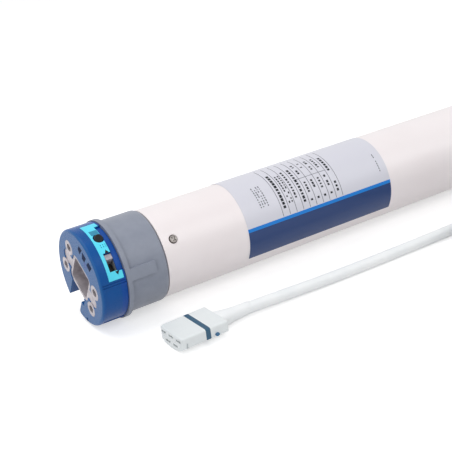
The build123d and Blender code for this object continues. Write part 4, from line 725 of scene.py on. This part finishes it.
# Switch field: a darker patch before the button, painted shade of its hollow, and short printed bars beside
# it
fieldShadePatch = printRows("fieldShadePatch", motor["headRadius"], inks["field"], "tealInkAndPaintedShade", (
    {"row": 10.6, "turn": 106.6, "width": 5.0, "sweep": 8.0, "steps": 6},
))
fieldBars = printRows("fieldBars", motor["headRadius"], inks["field"], "tealInkAndPaintedShade", (
    {"row": 9.6, "rows": 3, "rowPitch": 1.5, "turn": 126.6, "marks": 2, "turnPitch": 2.6, "width": 0.5,
     "sweep": 1.5, "steps": 2},
))
print("prints wrapped")


def addPrism(mesh, lower, upper):
    low = [mesh.verts.new(point) for point in lower]
    high = [mesh.verts.new(point) for point in upper]
    mesh.faces.new(low)
    mesh.faces.new(high)
    for i in range(len(low)):
        j = (i + 1) % len(low)
        mesh.faces.new((low[i], low[j], high[j], high[i]))


def finishMesh(name, mesh, finish):
    # a closed mesh gets all its faces turned outwards
    bmesh.ops.recalc_face_normals(mesh, faces=mesh.faces)
    data = bpy.data.meshes.new(name)
    mesh.to_mesh(data)
    mesh.free()
    data.materials.append(materials[finish])
    return addObject(name, data)


# Two arrow marks beside the slide, pointing along its travel
arrows = {
    "places": ((11.2, 135.2, -1), (13.0, 161.9, 1)),   # station and turn of the middle, and the way it points
    "width": 2.7, "length": 2.3, "rise": 0.04, "sink": 0.05,
}


def onHead(station, turn, radius):
    height = motor["axisZ"] * perMetre + radius * sin(radians(turn))
    return fromFace(station, radius * cos(radians(turn)), height)


mesh = bmesh.new()
for station, turn, way in arrows["places"]:
    reach = arrows["length"] / 2 / radians(motor["headRadius"])
    corners = (
        (station - arrows["width"] / 2, turn - way * reach),
        (station + arrows["width"] / 2, turn - way * reach),
        (station, turn + way * reach),
    )
    addPrism(mesh, [onHead(s, t, motor["headRadius"] - arrows["sink"]) for s, t in corners],
             [onHead(s, t, motor["headRadius"] + arrows["rise"]) for s, t in corners])
fieldArrows = finishMesh("fieldArrows", mesh, "screenInkBlack")

# Plain marks on the face, opposite the notch: along is the notch's line, beside is across it
faceMarks = {
    "turn": -55.0,
    "shapes": (
        ((-25.4, 3.2), (-24.8, 7.3), (-21.0, 7.9), (-19.2, 4.9)),
        ((-24.6, -2.6), (-24.6, 2.6), (-19.2, 1.6), (-19.2, -1.6)),
        ((-24.8, -10.2), (-25.0, -5.6), (-20.4, -4.2), (-19.2, -8.8)),
    ),
    "ring": (-18.2, -3.2), "ringRadii": (1.2, 1.9), "ringSteps": 24,
    "rise": 0.03, "sink": 0.05,
}


def onFace(along, beside, station):
    turn = radians(faceMarks["turn"])
    height = motor["axisZ"] * perMetre + along * sin(turn) + beside * cos(turn)
    return fromFace(station, along * cos(turn) - beside * sin(turn), height)


mesh = bmesh.new()
for shape in faceMarks["shapes"]:
    addPrism(mesh, [onFace(a, b, faceMarks["sink"]) for a, b in shape],
             [onFace(a, b, -faceMarks["rise"]) for a, b in shape])
faceShapes = finishMesh("faceShapes", mesh, "padPrintNavy")
mesh = bmesh.new()
rings = []
for radius in faceMarks["ringRadii"]:
    for station in (faceMarks["sink"], -faceMarks["rise"]):
        turns = [2 * pi * i / faceMarks["ringSteps"] for i in range(faceMarks["ringSteps"])]
        rings.append([mesh.verts.new(onFace(faceMarks["ring"][0] + radius * cos(t),
                                            faceMarks["ring"][1] + radius * sin(t), station)) for t in turns])
for first, second in ((0, 1), (1, 3), (3, 2), (2, 0)):
    for i in range(faceMarks["ringSteps"]):
        j = (i + 1) % faceMarks["ringSteps"]
        mesh.faces.new((rings[first][i], rings[first][j], rings[second][j], rings[second][i]))
faceRing = finishMesh("faceRing", mesh, "screenInkBlue")
print("marks made")

# Sleeve that strengthens the cable where it leaves the plug: wide and flat at the plug, round at its thin end
sleeve = {
    # distance behind the plug's front end, half width, half height
    "sections": ((31.9, 7.4, 4.8), (32.8, 7.3, 4.85), (35.0, 6.4, 4.9), (37.6, 5.6, 4.9), (41.0, 4.9, 4.6),
                 (45.0, 4.5, 4.4), (50.0, 4.25, 4.2), (55.0, 4.1, 4.08), (55.6, 3.95, 3.93)),
    "around": 40,
    "squareness": 2.6,    # at the plug; 2 is an ellipse
    "roundAfter": 12.0,   # behind its first section, where it has become an ellipse
}
mesh = bmesh.new()
loops = []
for distance, halfWidth, halfHeight in sleeve["sections"]:
    loop = []
    blend = min(1.0, (distance - sleeve["sections"][0][0]) / sleeve["roundAfter"])
    power = 2 / (sleeve["squareness"] * (1 - blend) + 2 * blend)
    for i in range(sleeve["around"]):
        t = 2 * pi * i / sleeve["around"]
        across = halfWidth * abs(cos(t)) ** power * (1 if cos(t) >= 0 else -1)
        rise = halfHeight * abs(sin(t)) ** power * (1 if sin(t) >= 0 else -1)
        loop.append(mesh.verts.new(onPlug(distance, across, plug["height"] / 2 + rise)))
    loops.append(loop)
for near, far in zip(loops, loops[1:]):
    for i in range(sleeve["around"]):
        j = (i + 1) % sleeve["around"]
        face = mesh.faces.new((near[i], near[j], far[j], far[i]))
        face.smooth = True
mesh.faces.new(loops[0])
mesh.faces.new(loops[-1])
cableSleeve = finishMesh("cableSleeve", mesh, "extrudedSheath")
print("sleeve made")

# Each piece rides on its body
mainsCable.data.materials.append(materials["extrudedSheath"])
fixedPieces = {
    mainsCable: "cable_sheath",
    cableSleeve: "plug_plastic",
    labelLines: "label_film",
    labelWords: "label_film",
    labelSmallPrint: "label_film",
    fieldShadePatch: "cyan_label",
    fieldBars: "cyan_label",
    fieldArrows: "cyan_label",
    faceShapes: "blue_shell",
    faceRing: "blue_shell",
}
for piece, slotName in fixedPieces.items():
    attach(piece, "motor")
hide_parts("cable", "cable_coil")

# Floor and light: both glow for what looks at them and light the motor less, so that it keeps its shading
studio = {
    "floorReach": 6.0,   # m
    "floorDrop": 0.2,    # mm below the object
    "floorColour": "#DEDEDE", "floorGlow": 0.54,
    "skyLevel": 0.43, "key": 8.4, "fill": 5.0, "rim": 3.7,
}


def seenRays(tree):
    # 1 for rays from the camera, in a gloss or through glass, 0 for light that bounces
    rays = addNode(tree, "ShaderNodeLightPath").outputs
    direct = calculate(tree, "MAXIMUM", rays["Is Camera Ray"], rays["Is Glossy Ray"])
    return calculate(tree, "MAXIMUM", direct, rays["Is Transmission Ray"])


mesh = bmesh.new()
for x, y in ((-1, -1), (1, -1), (1, 1), (-1, 1)):
    mesh.verts.new((x * studio["floorReach"], y * studio["floorReach"], -studio["floorDrop"] * mm))
mesh.faces.new(mesh.verts[:])
material = bpy.data.materials.new("paleStudioFloor")
material.use_nodes = True
tree = material.node_tree
tree.nodes.clear()
glow = calculate(tree, "MULTIPLY", seenRays(tree), studio["floorGlow"])
paint = addNode(tree, "ShaderNodeBsdfDiffuse", {"Color": linear(studio["floorColour"])})
light = addNode(tree, "ShaderNodeEmission", {"Color": (1, 1, 1, 1)}, {"Strength": glow})
both = addNode(tree, "ShaderNodeAddShader", None, {0: paint.outputs[0], 1: light.outputs[0]})
addNode(tree, "ShaderNodeOutputMaterial", None, {"Surface": both.outputs[0]})
materials["paleStudioFloor"] = material
floor = finishMesh("studioFloor", mesh, "paleStudioFloor")

world = bpy.data.worlds.new("softStudio")
bpy.context.scene.world = world
world.use_nodes = True
tree = world.node_tree
tree.nodes.clear()
level = fadeBetween(tree, seenRays(tree), 0.0, 1.0, studio["skyLevel"], 1.0)
sky = addNode(tree, "ShaderNodeBackground", {"Color": (1, 1, 1, 1)}, {"Strength": level})
addNode(tree, "ShaderNodeOutputWorld", None, {"Surface": sky.outputs[0]})

lamps = (
    # name, place, aimed at, size in m, power in W
    ("keyLamp", (-0.55, 0.25, 1.35), (-0.25, -0.03, 0.03), 1.1, studio["key"]),
    ("fillLamp", (-1.25, -0.85, 0.75), (-0.28, -0.03, 0.03), 0.9, studio["fill"]),
    ("rimLamp", (0.5, -0.9, 0.9), (-0.1, -0.03, 0.03), 0.8, studio["rim"]),
)
for name, place, aim, size, power in lamps:
    lamp = bpy.data.lights.new(name, "AREA")
    lamp.energy = power
    lamp.size = size
    lampObject = addObject(name, lamp)
    lampObject.location = place
    lampObject.rotation_euler = (Vector(aim) - Vector(place)).to_track_quat("-Z", "Y").to_euler()
bpy.context.scene.view_settings.view_transform = "Standard"
print("floor and lamps set")
